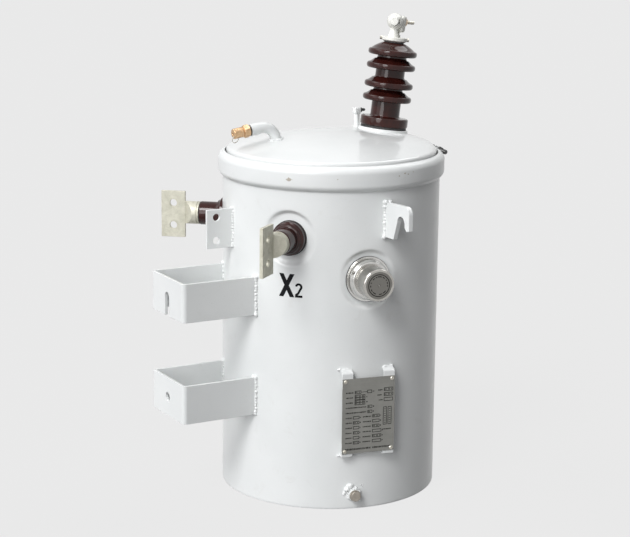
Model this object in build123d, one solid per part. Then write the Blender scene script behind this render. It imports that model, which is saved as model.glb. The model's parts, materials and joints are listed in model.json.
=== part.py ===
from build123d import *
import os
from math import cos, pi, radians, sin, sqrt

# Single-phase pole mounted transformer.
# Millimetres. The origin is on the tank's axis at the level of its bottom rim, +Z up.
# The hanger brackets point along -X, the lifting lugs along -Y and +Y.

# ---- driving dimensions ----
tank_radius = 210.0
wall_thickness = 3.0
rim_height = 632.0              # top of the rolled rim, where the cover gasket lies
rim_depth = 12.0
rim_radius = 216.0
base_plate_height = 12.0        # underside of the recessed bottom
base_plate_thickness = 5.0

gasket_thickness = 4.0
cover_thickness = 3.0
cover_radius = 203.0            # upright shoulder of the cover
cover_shoulder_height = 662.0
crown_height = 692.0
band_thickness = 2.5
band_radius = 218.5
band_bottom = 611.0
band_top = 657.0
band_closure_angle = -7.0       # where the two ears of the clamp ring meet
band_gap = 10.0
band_bolt_height = 646.0

bushing_angle = 141.0           # low-voltage bushings, either side of the brackets
bushing_height = 521.0
spade_middle = 517.0
low_seat_flat = 46.0            # round flat pressed into the wall under a bushing
changer_seat_flat = 50.0
seat_slope = 7.0                # width of the sloping edge round a flat
seat_depth = 203.0              # distance of a flat from the tank's axis
seat_wall = 3.0
spade_width = 48.0
spade_height = 92.0
spade_thickness = 6.5
spade_inner = 290.0             # distance of the spade's inner edge from the axis
spade_hole_spacing = 44.45
spade_hole_radius = 7.15

bracket_reach = 350.5           # outer face of a hanger plate from the axis
bracket_width = 140.0
bracket_height = 74.0
bracket_plate = 6.0
bracket_bend = 9.0              # outer bend radius
lower_bracket_height = 207.0    # middle of the lower bracket
bracket_spacing = 195.0
hanger_hole_radius = 9.0

earth_pad_reach = 264.5
earth_pad_bottom = 483.5
earth_pad_height = 74.5
earth_pad_offset = 8.0
earth_pad_thickness = 6.0
earth_hole_reach = 244.5        # distance of the pad's two holes from the axis

lug_reach = 294.0
lug_bottom = 524.0
lug_top = 592.0
lug_thickness = 9.0

high_bushing_x = 116.0          # where its axis meets the seat on the cover
high_bushing_z = 691.6
high_bushing_lean = 7.2         # leans away from the brackets
high_seat_radius = 48.0

pipe_x = -116.7
pipe_y = 8.0
pipe_radius = 10.6
pipe_rise = 709.0               # height of the outlet where it leaves the bend
pipe_bend = 28.5
outlet_drop = 8.0               # degrees below level

changer_angle = -99.6           # tap changer and nameplate, seen from above
changer_height = 445.5

plate_width = 105.0
plate_height = 146.0
plate_middle = 186.5
plate_distance = 219.0

earth_boss_angle = -105.8
earth_boss_height = 29.0


os.makedirs("parts", exist_ok=True)


def save(solid, name):
    """Writes one sub-part under its node name."""
    export_step(solid, f"parts/{name}.step")
    return solid


def outward(angle, distance, height):
    """A placement whose Z points out from the tank's axis and whose Y points up."""
    direction = (cos(radians(angle)), sin(radians(angle)), 0)
    across = (-sin(radians(angle)), cos(radians(angle)), 0)
    origin = (direction[0] * distance, direction[1] * distance, height)
    return Plane(origin=origin, x_dir=across, z_dir=direction).location


def rod(radius, length):
    """A cylinder that stands on its placement."""
    return Cylinder(radius, length, align=(Align.CENTER, Align.CENTER, Align.MIN))


def block(x, y, z):
    """A box that stands on its placement."""
    return Box(x, y, z, align=(Align.CENTER, Align.CENTER, Align.MIN))


def tube(outer, inner, bottom, top):
    """A ring about the tank's axis."""
    return Pos(0, 0, bottom) * (rod(outer, top - bottom) - rod(inner, top - bottom))


def turned(edges):
    """A solid of revolution about Z from edges in the XZ plane."""
    return revolve(make_face(edges), Axis.Z)


def hexagon(across_flats, length):
    """A hexagonal prism that stands on its placement."""
    return extrude(RegularPolygon(across_flats / sqrt(3), 6), length)


# ---- tank ----
tank_core = rod(tank_radius - wall_thickness, rim_height)
tank_outside = rod(tank_radius, rim_height)
low_seats = [(bushing_angle, bushing_height, low_seat_flat),
             (-bushing_angle, bushing_height, low_seat_flat)]
seats = low_seats + [(changer_angle, changer_height, changer_seat_flat)]


def seat(angle, height, flat):
    """The backing to add and the recess to cut for a flat pressed into the wall."""
    depth = 14.0
    mouth = flat + seat_slope * depth / (tank_radius - seat_depth)
    backing = outward(angle, seat_depth - seat_wall, height) * rod(flat + seat_wall, 12)
    recess = outward(angle, seat_depth, height) * Cone(
        flat, mouth, depth, align=(Align.CENTER, Align.CENTER, Align.MIN))
    return backing & tank_outside, recess


tank_wall = tank_outside - tank_core
for angle, height, flat in seats:
    backing, recess = seat(angle, height, flat)
    tank_wall = tank_wall + backing - recess
save(tank_wall, "tank_wall")

base_plate = Pos(0, 0, base_plate_height) * rod(tank_radius - wall_thickness, base_plate_thickness)
save(base_plate, "base_plate")

save(tube(rim_radius, tank_radius, rim_height - rim_depth, rim_height), "tank_rim")

# ---- cover and clamp ring ----
gasket_top = rim_height + gasket_thickness
save(tube(rim_radius, tank_radius - wall_thickness, rim_height, gasket_top), "cover_gasket")

flange_top = gasket_top + 4.0
sag = crown_height - cover_shoulder_height
dome_radius = (cover_radius ** 2 + sag ** 2) / (2 * sag)


def dome_height(radius, drop=0.0):
    """Height of the domed cover at a distance from its axis."""
    return crown_height - drop - (dome_radius - sqrt(dome_radius ** 2 - radius ** 2))


def cover_section():
    inner = cover_radius - cover_thickness
    middle = cover_radius / 2
    return [
        ThreePointArc((0, 0, crown_height), (middle, 0, dome_height(middle)),
                      (cover_radius, 0, cover_shoulder_height)),
        Line((cover_radius, 0, cover_shoulder_height), (cover_radius, 0, flange_top)),
        Line((cover_radius, 0, flange_top), (rim_radius, 0, flange_top)),
        Line((rim_radius, 0, flange_top), (rim_radius, 0, gasket_top)),
        Line((rim_radius, 0, gasket_top), (inner, 0, gasket_top)),
        Line((inner, 0, gasket_top), (inner, 0, dome_height(inner, cover_thickness))),
        ThreePointArc((inner, 0, dome_height(inner, cover_thickness)),
                      (middle, 0, dome_height(middle, cover_thickness)),
                      (0, 0, crown_height - cover_thickness)),
        Line((0, 0, crown_height - cover_thickness), (0, 0, crown_height)),
    ]


cover = turned(cover_section())
shoulder = cover.edges().filter_by(GeomType.CIRCLE).filter_by(
    lambda edge: abs(edge.radius - cover_radius) < 0.1 and edge.center().Z > cover_shoulder_height - 1)
cover = fillet(shoulder, 6.0)
save(cover, "cover")

seal_outer = cover_radius + 2.6
save(tube(seal_outer, cover_radius, flange_top, band_top - 2.5), "groove_seal")


def band_section():
    inner = band_radius - band_thickness
    return [
        ThreePointArc((212, 0, band_bottom), (216.8, 0, 613.4), (band_radius, 0, 618.5)),
        Line((band_radius, 0, 618.5), (band_radius, 0, 641)),
        ThreePointArc((band_radius, 0, 641), (215.2, 0, 650.4), (206.5, 0, band_top)),
        Line((206.5, 0, band_top), (205.6, 0, band_top - 2.4)),
        ThreePointArc((205.6, 0, band_top - 2.4), (213.0, 0, 648.9), (inner, 0, 641)),
        Line((inner, 0, 641), (inner, 0, 619)),
        ThreePointArc((inner, 0, 619), (214.8, 0, 615.3), (211.4, 0, band_bottom + 2.4)),
        Line((211.4, 0, band_bottom + 2.4), (212, 0, band_bottom)),
    ]


closure = outward(band_closure_angle, 0, 0)
split = closure * Pos(0, (band_bottom + band_top) / 2, 150) * block(band_gap, 80, 100)
save(turned(band_section()) - split, "clamp_ring")

ear_thickness = 6.0
ear_height = 24.0
ear_depth = 16.0
ring_bolt_distance = band_radius + 7.0
ring_bolt_axis = closure * Pos(0, band_bolt_height, ring_bolt_distance) * Rot(0, 90, 0)
ears = []
for side in (-1, 1):
    ear = block(ear_thickness, ear_height, 40)
    ear = fillet(ear.edges().filter_by(Axis.X).group_by(Axis.Z)[-1], 6)
    place = closure * Pos(side * (band_gap + ear_thickness) / 2, band_bolt_height - 6,
                          band_radius + ear_depth - 40)
    ears.append(place * ear - rod(band_radius, 700) - ring_bolt_axis * Cylinder(5.2, 80))
save(Compound(children=ears), "ring_ears")

ring_bolt = ring_bolt_axis * Pos(0, 0, -41) * rod(4.6, 82)
for along in (-19, 11):
    ring_bolt += ring_bolt_axis * Pos(0, 0, along) * Rot(0, 0, 30) * hexagon(13, 8)
save(ring_bolt, "ring_bolt")

# ---- high-voltage bushing ----
lean = Pos(high_bushing_x, 0, high_bushing_z) * Rot(0, high_bushing_lean, 0)
under_dome = turned([
    ThreePointArc((0, 0, crown_height), (cover_radius / 2, 0, dome_height(cover_radius / 2)),
                  (cover_radius, 0, cover_shoulder_height)),
    Line((cover_radius, 0, cover_shoulder_height), (cover_radius, 0, 600)),
    Line((cover_radius, 0, 600), (0, 0, 600)),
    Line((0, 0, 600), (0, 0, crown_height)),
])
# a low hump pressed up under the bushing, kept inside the cover's shoulder, and a seat on it
hump_drop = 6.0
hump = Pos(0, 0, -hump_drop - 16) * Cone(
    124, 64, 16, align=(Align.CENTER, Align.CENTER, Align.MIN))
hump_edge = cover_radius - 3
edge_height = cover_shoulder_height + 4
chamfer_top = crown_height + 10
hump_limit = turned([
    Line((0, 0, 640), (hump_edge, 0, 640)),
    Line((hump_edge, 0, 640), (hump_edge, 0, edge_height)),
    Line((hump_edge, 0, edge_height), (hump_edge - (chamfer_top - edge_height), 0, chamfer_top)),
    Line((hump_edge - (chamfer_top - edge_height), 0, chamfer_top), (0, 0, chamfer_top)),
    Line((0, 0, chamfer_top), (0, 0, 640)),
])
seat_ring = Pos(0, 0, -20) * fillet(rod(high_seat_radius, 20).edges().group_by(Axis.Z)[-1], 2)
high_seat = lean * seat_ring + (lean * hump & hump_limit) - under_dome
save(high_seat, "high_bushing_seat")

save(lean * rod(44.5, 4), "high_bushing_gasket")

shed_radius = 47.5
shed_levels = [60.0, 86.0, 122.0, 148.5]
shed_slope = 0.72               # rise of a shed's top for each millimetre inwards
rim_thickness = 10.0
core_radius = 28.5
porcelain_top = 166.5
top_radius = 20.5


def shed(level, inner, rise):
    """One rain shed: a sloping top, a thick rounded rim and a hollow underside."""
    lip = shed_radius - 4.5
    upper = level + 3.0
    lower = upper - rim_thickness
    return turned([
        Line((0, 0, upper + rise), (inner, 0, upper + rise)),
        Line((inner, 0, upper + rise), (lip, 0, upper)),
        ThreePointArc((lip, 0, upper), (shed_radius, 0, (upper + lower) / 2), (lip - 0.8, 0, lower)),
        Line((lip - 0.8, 0, lower), (core_radius + 6, 0, level - 2.4)),
        Line((core_radius + 6, 0, level - 2.4), (core_radius, 0, level + 1.0)),
        Line((core_radius, 0, level + 1.0), (0, 0, level + 1.0)),
        Line((0, 0, level + 1.0), (0, 0, upper + rise)),
    ])


porcelain = Pos(0, 0, 4) * fillet(rod(46.5, 18).edges(), 3.5)
porcelain += Pos(0, 0, 12) * rod(core_radius, 140)
for level in shed_levels[:-1]:
    porcelain += shed(level, core_radius, (shed_radius - 4.5 - core_radius) * shed_slope)
porcelain += shed(shed_levels[-1], top_radius, porcelain_top - shed_levels[-1] - 3.0)
save(lean * porcelain, "high_bushing_porcelain")

save(lean * Pos(0, 0, porcelain_top) * rod(19, 1.5), "high_cap_seal")

cap_base = porcelain_top + 1.5
cap_disc = cap_base + 3.0
cap_top = cap_disc + 6.5
cap = Pos(0, 0, cap_base) * Cone(20, 24.5, 3, align=(Align.CENTER, Align.CENTER, Align.MIN))
cap += Pos(0, 0, cap_disc) * fillet(rod(24.5, 6.5).edges().group_by(Axis.Z)[-1], 1.2)
save(lean * cap, "high_bushing_cap")
cap_screw = Pos(22, 0, cap_disc + 3.2) * Rot(0, 90, 0) * hexagon(6, 6.5) - cap
cap_screws = [lean * Rot(0, 0, turn) * cap_screw for turn in (-22, 158)]
save(Compound(children=cap_screws), "cap_screws")

# the terminal's eye, a clamp jaw beside it and the bolt through both
clamp_turn = 20.0               # the clamp bolt's direction, seen from above
eye_height = 208.0
eye_offset = -4.5
eye_radius = 15.6
jaw_start = 4.3                 # along the clamp bolt, from the bushing's axis
jaw_end = 18.0
jaw_across = 25.0
jaw_rise = 32.0
jaw_drop = 4.4                  # the jaw's middle below the eye's
clamp = lean * Rot(0, 0, clamp_turn)
terminal = Pos(eye_offset, 0, cap_top) * Cone(
    11.5, 7.5, 19, align=(Align.CENTER, Align.CENTER, Align.MIN))
terminal += Pos(eye_offset, 0, eye_height) * Sphere(eye_radius)
eye_front = Pos(eye_offset, 0, eye_height) * Rot(0, 0, -148) * Rot(0, 90, 0)
terminal += eye_front * hexagon(16, 17)
terminal += Pos(8.5, 0, cap_top) * (rod(3.6, 22) + hexagon(10, 5))
jaw = fillet(Box(jaw_end - jaw_start, jaw_across, jaw_rise).edges(), 3)
terminal += Pos((jaw_start + jaw_end) / 2, 0, eye_height - jaw_drop) * jaw
save(clamp * terminal, "high_terminal")

bolt_axis = clamp * Pos(jaw_end, 0, eye_height) * Rot(0, 90, 0)
clamp_bolt = rod(3.6, 36) + rod(9.0, 1.6) + Pos(0, 0, 1.6) * hexagon(15, 7.5)
save(bolt_axis * clamp_bolt, "high_terminal_bolt")

# ---- post on the cover beside the bushing ----
post_x = 98.0
post_y = 72.0
post_base = dome_height(sqrt(post_x ** 2 + post_y ** 2)) - 3
post = Pos(post_x, post_y, post_base - 2) * rod(5.5, 41) - under_dome - high_seat
post_head = post_base + 33.4
save(post + Pos(post_x, post_y, post_head) * block(13, 13, 12), "cover_post")
save(Pos(post_x + 6.5, post_y, post_head + 7) * Rot(0, 90, 0) * rod(3, 12), "cover_post_bolt")

# ---- pressure relief pipe and valve ----
pipe_start = dome_height(sqrt(pipe_x ** 2 + pipe_y ** 2))
bend_turn = 90 + outlet_drop
collar_start = 7.0              # beyond the end of the bend
bend_start = pipe_rise - pipe_bend * sin(radians(bend_turn)) - 2.0
pipe_path = Line((pipe_x, pipe_y, pipe_start - 12), (pipe_x, pipe_y, bend_start))
bend_middle = (pipe_x - pipe_bend, pipe_y, bend_start)


def bend_point(turn):
    """A point on the pipe's centreline, by how far it has turned from upright."""
    return (bend_middle[0] + pipe_bend * cos(radians(turn)), pipe_y,
            bend_start + pipe_bend * sin(radians(turn)))


bend_end = bend_point(bend_turn)
flow = (-sin(radians(bend_turn)), 0, cos(radians(bend_turn)))
outlet = Plane(origin=bend_end, x_dir=(0, 1, 0), z_dir=flow).location
arc = ThreePointArc(bend_point(0), bend_point(bend_turn / 2), bend_end)
straight = Line(bend_end, (Vector(*bend_end) + Vector(*flow) * collar_start))
section = Plane(origin=(pipe_x, pipe_y, pipe_start - 12), z_dir=(0, 0, 1)) * Circle(pipe_radius)
pipe = sweep(section, path=Wire([pipe_path, arc, straight])) - under_dome
save(pipe, "relief_pipe")
collar_length = 16.4
save(outlet * Pos(0, 0, collar_start) * rod(11.5, collar_length), "relief_collar")
neck_start = collar_start + collar_length
valve = rod(9.0, 2.3) + Pos(0, 0, 2.3) * hexagon(22.5, 13)
valve_tail = fillet(rod(10.0, 21.5).edges().group_by(Axis.Z)[-1], 3.0)
valve += Pos(0, 0, 15) * valve_tail
valve -= Pos(0, 0, 28) * rod(2.2, 20)
save(outlet * Pos(0, 0, neck_start) * valve, "relief_valve")

# ---- low-voltage bushings ----
porcelain_end = 55.5
ferrule_start = 57.0
ferrule_end = spade_inner - seat_depth
ferrule_radius = 22.3
wedge_angle = 48.0


def low_porcelain():
    """Flange with a sloping top, a small step and a plain barrel."""
    return turned([
        Line((0, 0, 3), (30.7, 0, 3)),
        ThreePointArc((30.7, 0, 3), (31.6, 0, 3.4), (32.0, 0, 4.6)),
        Line((32.0, 0, 4.6), (32.0, 0, 12)),
        ThreePointArc((32.0, 0, 12), (31.4, 0, 13.8), (29.8, 0, 15)),
        Line((29.8, 0, 15), (26.6, 0, 17.8)),
        ThreePointArc((26.6, 0, 17.8), (26.0, 0, 20.0), (24.0, 0, 20.8)),
        Line((24.0, 0, 20.8), (23.0, 0, 22.4)),
        Line((23.0, 0, 22.4), (23.0, 0, porcelain_end - 1.2)),
        Line((23.0, 0, porcelain_end - 1.2), (21.9, 0, porcelain_end)),
        Line((21.9, 0, porcelain_end), (0, 0, porcelain_end)),
        Line((0, 0, porcelain_end), (0, 0, 3)),
    ])


for name, angle in (("x1", bushing_angle), ("x2", -bushing_angle)):
    base = outward(angle, seat_depth, bushing_height)
    save(base * rod(33, 3), f"{name}_gasket")
    save(base * low_porcelain(), f"{name}_porcelain")
    save(base * Pos(0, 0, porcelain_end) * rod(21, 1.5), f"{name}_seal")
    ferrule = Pos(0, 0, ferrule_start) * rod(ferrule_radius, ferrule_end - ferrule_start)
    groove = rod(ferrule_radius + 1, 2) - rod(ferrule_radius - 1.8, 2)
    ferrule -= Pos(0, 0, ferrule_start + 2.5) * groove
    for side in (-1, 1):
        slope = Pos(side * spade_thickness / 2, 0, ferrule_end) * Rot(0, side * -wedge_angle, 0)
        ferrule -= slope * Pos(side * 40, 0, 0) * Box(80, 60, 120)
    save(base * ferrule, f"{name}_ferrule")
    face = outward(angle, spade_inner, spade_middle)
    spade = face * block(spade_thickness, spade_height, spade_width)
    for side in (-1, 1):
        hole = face * Pos(0, side * spade_hole_spacing / 2, spade_width / 2)
        spade -= hole * Rot(0, 90, 0) * Cylinder(spade_hole_radius, 30)
    save(spade, f"{name}_spade")

# ---- earth pad beside the wall ----
pad_root = sqrt(tank_radius ** 2 - (earth_pad_offset + earth_pad_thickness / 2) ** 2) - 2
pad_length = earth_pad_reach - pad_root
pad = Pos(-pad_root - pad_length / 2, earth_pad_offset, earth_pad_bottom) * block(
    pad_length, earth_pad_thickness, earth_pad_height)
pad_middle_z = earth_pad_bottom + earth_pad_height / 2
for side in (-1, 1):
    hole = Pos(-earth_hole_reach, earth_pad_offset, pad_middle_z + side * spade_hole_spacing / 2)
    pad -= hole * Rot(90, 0, 0) * Cylinder(spade_hole_radius, 40)
save(pad - tank_outside, "earth_pad")

# ---- hanger brackets ----
upper_bracket_height = lower_bracket_height + bracket_spacing


def hanger(height):
    """A strap bent to a U, its legs cut to the tank's curve."""
    middle = (Align.MIN, Align.CENTER, Align.CENTER)
    outer = Box(bracket_reach, bracket_width, bracket_height, align=middle)
    outer = fillet(outer.edges().filter_by(Axis.Z).group_by(Axis.X)[0], bracket_bend)
    inner_width = bracket_width - 2 * bracket_plate
    inner = Pos(bracket_plate, 0, 0) * Box(bracket_reach, inner_width, bracket_height, align=middle)
    inner = fillet(inner.edges().filter_by(Axis.Z).group_by(Axis.X)[0], bracket_bend - bracket_plate)
    return Pos(-bracket_reach, 0, height) * (outer - inner) - tank_outside


lower = hanger(lower_bracket_height)
hanger_hole = Rot(0, 90, 0) * Cylinder(hanger_hole_radius, 30)
lower -= Pos(-bracket_reach, 0, lower_bracket_height) * hanger_hole
save(lower, "lower_hanger")

upper = hanger(upper_bracket_height)
upper -= Pos(-bracket_reach, 0, upper_bracket_height) * hanger_hole
upper -= Pos(-bracket_reach, 0, upper_bracket_height - bracket_height / 2) * Box(
    30, 2 * hanger_hole_radius, bracket_height)
save(upper, "upper_hanger")

# ---- lifting lugs ----
slot_inner = 253.5
slot_outer = 278.5
slot_radius = (slot_outer - slot_inner) / 2
slot_middle = (slot_inner + slot_outer) / 2
slot_crown = 571.0
inner_leg_foot = 241.0          # the inner leg narrows downwards, towards the wall
outer_leg_bottom = 546.0


def lug_face():
    """Side outline of a lifting lug: distance from the axis against height."""
    corner = 15.0
    spring = slot_crown - slot_radius
    return make_face([
        Line((206, lug_bottom), (inner_leg_foot, lug_bottom)),
        Line((inner_leg_foot, lug_bottom), (slot_inner, spring)),
        ThreePointArc((slot_inner, spring), (slot_middle, slot_crown), (slot_outer, spring)),
        Line((slot_outer, spring), (slot_outer + 1, outer_leg_bottom + 6)),
        Line((slot_outer + 1, outer_leg_bottom + 6), (slot_outer + 7.5, outer_leg_bottom)),
        Line((slot_outer + 7.5, outer_leg_bottom), (lug_reach, outer_leg_bottom + 2)),
        Line((lug_reach, outer_leg_bottom + 2), (lug_reach, lug_top - corner)),
        ThreePointArc((lug_reach, lug_top - corner),
                      (lug_reach - corner * (1 - cos(pi / 4)), lug_top - corner * (1 - sin(pi / 4))),
                      (lug_reach - corner, lug_top)),
        Line((lug_reach - corner, lug_top), (206, lug_top - 3)),
        Line((206, lug_top - 3), (206, lug_bottom)),
    ])


for name, angle in (("front_lifting_lug", -90), ("rear_lifting_lug", 90)):
    upright = Plane(origin=(0, 0, 0), x_dir=(cos(radians(angle)), sin(radians(angle)), 0),
                    z_dir=(sin(radians(angle)), -cos(radians(angle)), 0))
    lug = extrude(upright * lug_face(), lug_thickness / 2, both=True)
    save(lug - tank_outside, name)

# ---- tap changer ----
base = outward(changer_angle, seat_depth, changer_height)
save(base * rod(43, 2.5), "changer_gasket")
changer_flange = Pos(0, 0, 2.5) * rod(41, 1.5) + Pos(0, 0, 4) * rod(36.5, 2)
changer_flange += turned([
    Line((0, 0, 6), (37.5, 0, 6)),
    ThreePointArc((37.5, 0, 6), (38.5, 0, 9.5), (37.2, 0, 13.0)),
    ThreePointArc((37.2, 0, 13.0), (35.2, 0, 16.4), (32.5, 0, 18.5)),
    Line((32.5, 0, 18.5), (0, 0, 18.5)),
    Line((0, 0, 18.5), (0, 0, 6)),
])
save(base * changer_flange, "changer_flange")
changer_front = 61.0
mark_groove = 20.4              # radius of the ring cut into the cap's end
cap_end = changer_front - 0.8
changer_body = turned([
    Line((0, 0, 18.5), (30.0, 0, 18.5)),
    Line((30.0, 0, 18.5), (30.5, 0, 20.5)),
    Line((30.5, 0, 20.5), (30.5, 0, 55)),
    ThreePointArc((30.5, 0, 55), (29.9, 0, 58.2), (27.6, 0, changer_front)),
    Line((27.6, 0, changer_front), (26.0, 0, changer_front)),
    Line((26.0, 0, changer_front), (25.2, 0, cap_end)),
    Line((25.2, 0, cap_end), (mark_groove + 0.9, 0, cap_end)),
    Line((mark_groove + 0.9, 0, cap_end), (mark_groove + 0.6, 0, cap_end - 1)),
    Line((mark_groove + 0.6, 0, cap_end - 1), (mark_groove - 0.6, 0, cap_end - 1)),
    Line((mark_groove - 0.6, 0, cap_end - 1), (mark_groove - 0.9, 0, cap_end)),
    Line((mark_groove - 0.9, 0, cap_end), (0, 0, cap_end)),
    Line((0, 0, cap_end), (0, 0, 18.5)),
])
save(base * changer_body, "changer_cap")

# ---- nameplate on its four tabs ----
plate_place = outward(changer_angle, plate_distance, plate_middle)
save(plate_place * block(plate_width, plate_height, 1.5), "nameplate")
screw_across = plate_width / 2 - 6
screw_up = plate_height / 2 - 5
screws = []
for across in (-screw_across, screw_across):
    for up in (-screw_up, screw_up):
        screw = fillet(rod(3.8, 2.6).edges().group_by(Axis.Z)[-1], 1.8)
        screws.append(plate_place * Pos(across, up, 1.5) * screw)
save(Compound(children=screws), "nameplate_screws")

tab_width = 22.0
tab_thickness = 3.0
tab_across = (plate_width - tab_width) / 2
upper_tab_rise = 12.0           # how far a tab shows past the plate's top edge
tab_back = 12.0


def upper_tab(across):
    """A strap behind the plate that rises past it and bends back to the wall."""
    top = plate_height / 2 + upper_tab_rise
    side = make_face([
        Line((0, top - 30), (0, top - 4)),
        ThreePointArc((0, top - 4), (-1.2, top - 1.2), (-4, top)),
        Line((-4, top), (-tab_back, top + 4)),
        Line((-tab_back, top + 4), (-tab_back, top + 0.6)),
        Line((-tab_back, top + 0.6), (-5.2, top - 3)),
        ThreePointArc((-5.2, top - 3), (-3.6, top - 3.9), (-3, top - 5.6)),
        Line((-3, top - 5.6), (-3, top - 30)),
        Line((-3, top - 30), (0, top - 30)),
    ])
    strap = Rot(0, -90, 0) * extrude(side, tab_width / 2, both=True)
    return plate_place * Pos(across, 0, 0) * strap - tank_outside


def lower_tab(across):
    """An angle behind the plate's lower edge with its leg back to the wall."""
    bottom = -plate_height / 2 - 6.5
    face = Pos(across, bottom + 13, -tab_thickness) * block(tab_width, 26, tab_thickness)
    leg = Pos(across, bottom + tab_thickness / 2, -40) * block(tab_width, tab_thickness, 40)
    return plate_place * (face + leg) - tank_outside


save(Compound(children=[upper_tab(-tab_across), upper_tab(tab_across)]), "upper_plate_tabs")
save(Compound(children=[lower_tab(-tab_across), lower_tab(tab_across)]), "lower_plate_tabs")

# ---- earth boss and bolt near the bottom ----
boss_place = outward(earth_boss_angle, tank_radius - 4, earth_boss_height)
save((boss_place * rod(11, 14)) - tank_outside, "earth_boss")
bolt_place = outward(earth_boss_angle, tank_radius + 10, earth_boss_height)
earth_head = hexagon(18, 7) & Cone(12.6, 8.8, 7, align=(Align.CENTER, Align.CENTER, Align.MIN))
save(bolt_place * (rod(10.8, 1.5) + Pos(0, 0, 1.5) * earth_head), "earth_bolt")
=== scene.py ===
import json
import math
import random

import bpy
from mathutils import Matrix, Vector


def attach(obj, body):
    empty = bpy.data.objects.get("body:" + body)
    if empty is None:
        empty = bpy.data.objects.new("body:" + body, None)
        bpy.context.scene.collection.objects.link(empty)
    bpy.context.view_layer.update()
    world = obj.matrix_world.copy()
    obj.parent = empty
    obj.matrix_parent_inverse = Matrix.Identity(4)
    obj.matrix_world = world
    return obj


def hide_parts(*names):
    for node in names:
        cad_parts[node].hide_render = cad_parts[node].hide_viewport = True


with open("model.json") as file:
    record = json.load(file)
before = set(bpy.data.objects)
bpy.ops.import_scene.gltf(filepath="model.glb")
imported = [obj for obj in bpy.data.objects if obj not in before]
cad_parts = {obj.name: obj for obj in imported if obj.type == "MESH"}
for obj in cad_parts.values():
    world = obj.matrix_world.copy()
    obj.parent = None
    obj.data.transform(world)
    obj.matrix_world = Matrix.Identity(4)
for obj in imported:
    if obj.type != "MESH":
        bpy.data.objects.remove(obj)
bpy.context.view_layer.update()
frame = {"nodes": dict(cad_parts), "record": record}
nodes = frame["nodes"]
mm = 0.001

# places that several pieces share, in mm and degrees
layout = {
    "tankRadius": 210.0,
    "flatDistance": 203.0,
    "lowAngle": 141.0,
    "lowHeight": 521.0,
    "changerAngle": -99.6,
    "changerHeight": 445.5,
    "plateAngle": -99.6,
    "plateHeight": 186.5,
    "bossAngle": -105.8,
    "bossHeight": 29.0,
    "bandRadius": 218.5,
    "seat": (116.0, 0.0, 691.6),
    "lean": 7.2,
    "post": (98.0, 72.0),
    "pipe": (-116.7, 8.0),
}


# camera
cameraSettings = {
    "place": (-1.76859, -3.10370, 1.22321),
    "turn": (77.33694, -0.59617, -29.07328),
    "lens": 106.80,
    "sensor": 36.0,
    "clipEnd": 200.0,
}


def addCamera():
    data = bpy.data.cameras.new("studioCamera")
    data.sensor_fit = "HORIZONTAL"
    data.sensor_width = cameraSettings["sensor"]
    data.lens = cameraSettings["lens"]
    data.clip_end = cameraSettings["clipEnd"]
    camera = bpy.data.objects.new("studioCamera", data)
    camera.location = cameraSettings["place"]
    camera.rotation_euler = [math.radians(angle) for angle in cameraSettings["turn"]]
    bpy.context.scene.collection.objects.link(camera)
    bpy.context.scene.camera = camera
    return camera


addCamera()
bpy.context.scene.view_settings.view_transform = "Standard"
print("camera placed")


# small helpers for node trees
def newMaterial(name):
    material = bpy.data.materials.new(name)
    material.use_nodes = True
    material.node_tree.nodes.clear()
    return material, Tree(material)


class Tree:
    def __init__(self, material):
        self.nodes = material.node_tree.nodes
        self.links = material.node_tree.links
        self.coords = None

    def add(self, kind, inputs=None, **settings):
        node = self.nodes.new(kind)
        for key, value in settings.items():
            setattr(node, key, value)
        for key, value in (inputs or {}).items():
            socket = node.inputs[key]
            if isinstance(value, bpy.types.NodeSocket):
                self.links.new(value, socket)
            else:
                socket.default_value = value
        return node

    def place(self):
        if self.coords is None:
            self.coords = self.add("ShaderNodeTexCoord").outputs["Object"]
        return self.coords

    def noise(self, scale, detail=3.0, roughness=0.5, distortion=0.0, vector=None):
        node = self.add("ShaderNodeTexNoise", {
            "Vector": vector or self.place(), "Scale": scale, "Detail": detail,
            "Roughness": roughness, "Distortion": distortion})
        return node.outputs["Fac"]

    def ramp(self, value, low, high, start=0.0, end=1.0):
        node = self.add("ShaderNodeMapRange", {
            "Value": value, "From Min": low, "From Max": high, "To Min": start, "To Max": end})
        return node.outputs["Result"]

    def maths(self, operation, first, second=0.0):
        node = self.add("ShaderNodeMath", {0: first, 1: second}, operation=operation)
        return node.outputs[0]

    def blend(self, amount, first, second):
        node = self.add("ShaderNodeMix", data_type="RGBA")
        sockets = {"Factor": node.inputs[0], "A": node.inputs[6], "B": node.inputs[7]}
        for name, value in (("Factor", amount), ("A", first), ("B", second)):
            if isinstance(value, bpy.types.NodeSocket):
                self.links.new(value, sockets[name])
            else:
                sockets[name].default_value = value
        return node.outputs[2]

    def bump(self, height, strength, distance, under=None):
        inputs = {"Height": height, "Strength": strength, "Distance": distance}
        if under is not None:
            inputs["Normal"] = under
        return self.add("ShaderNodeBump", inputs).outputs["Normal"]

    def finish(self, colour, roughness, normal, extras=None):
        inputs = {"Base Color": colour, "Roughness": roughness, "Normal": normal, **(extras or {})}
        shader = self.add("ShaderNodeBsdfPrincipled", inputs)
        self.add("ShaderNodeOutputMaterial", {"Surface": shader.outputs["BSDF"]})


def rgb(red, green, blue):
    return (red, green, blue, 1.0)


# studio: floor, world and lamps
studioSettings = {
    "floorSize": 60.0,
    "floorAlbedo": 0.16,
    "shownShare": 0.8,
    "shownGrey": 0.975,
    "lampAim": (0.0, 0.0, 0.35),
    "lampDistance": 3.0,
}


# the pale backdrop shows to the camera and in metal and glaze, and lights nothing
def seenRays(tree):
    path = tree.add("ShaderNodeLightPath")
    seen = tree.maths("MAXIMUM", path.outputs["Is Camera Ray"], path.outputs["Is Transmission Ray"])
    return tree.maths("MAXIMUM", seen, path.outputs["Is Glossy Ray"])


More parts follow.
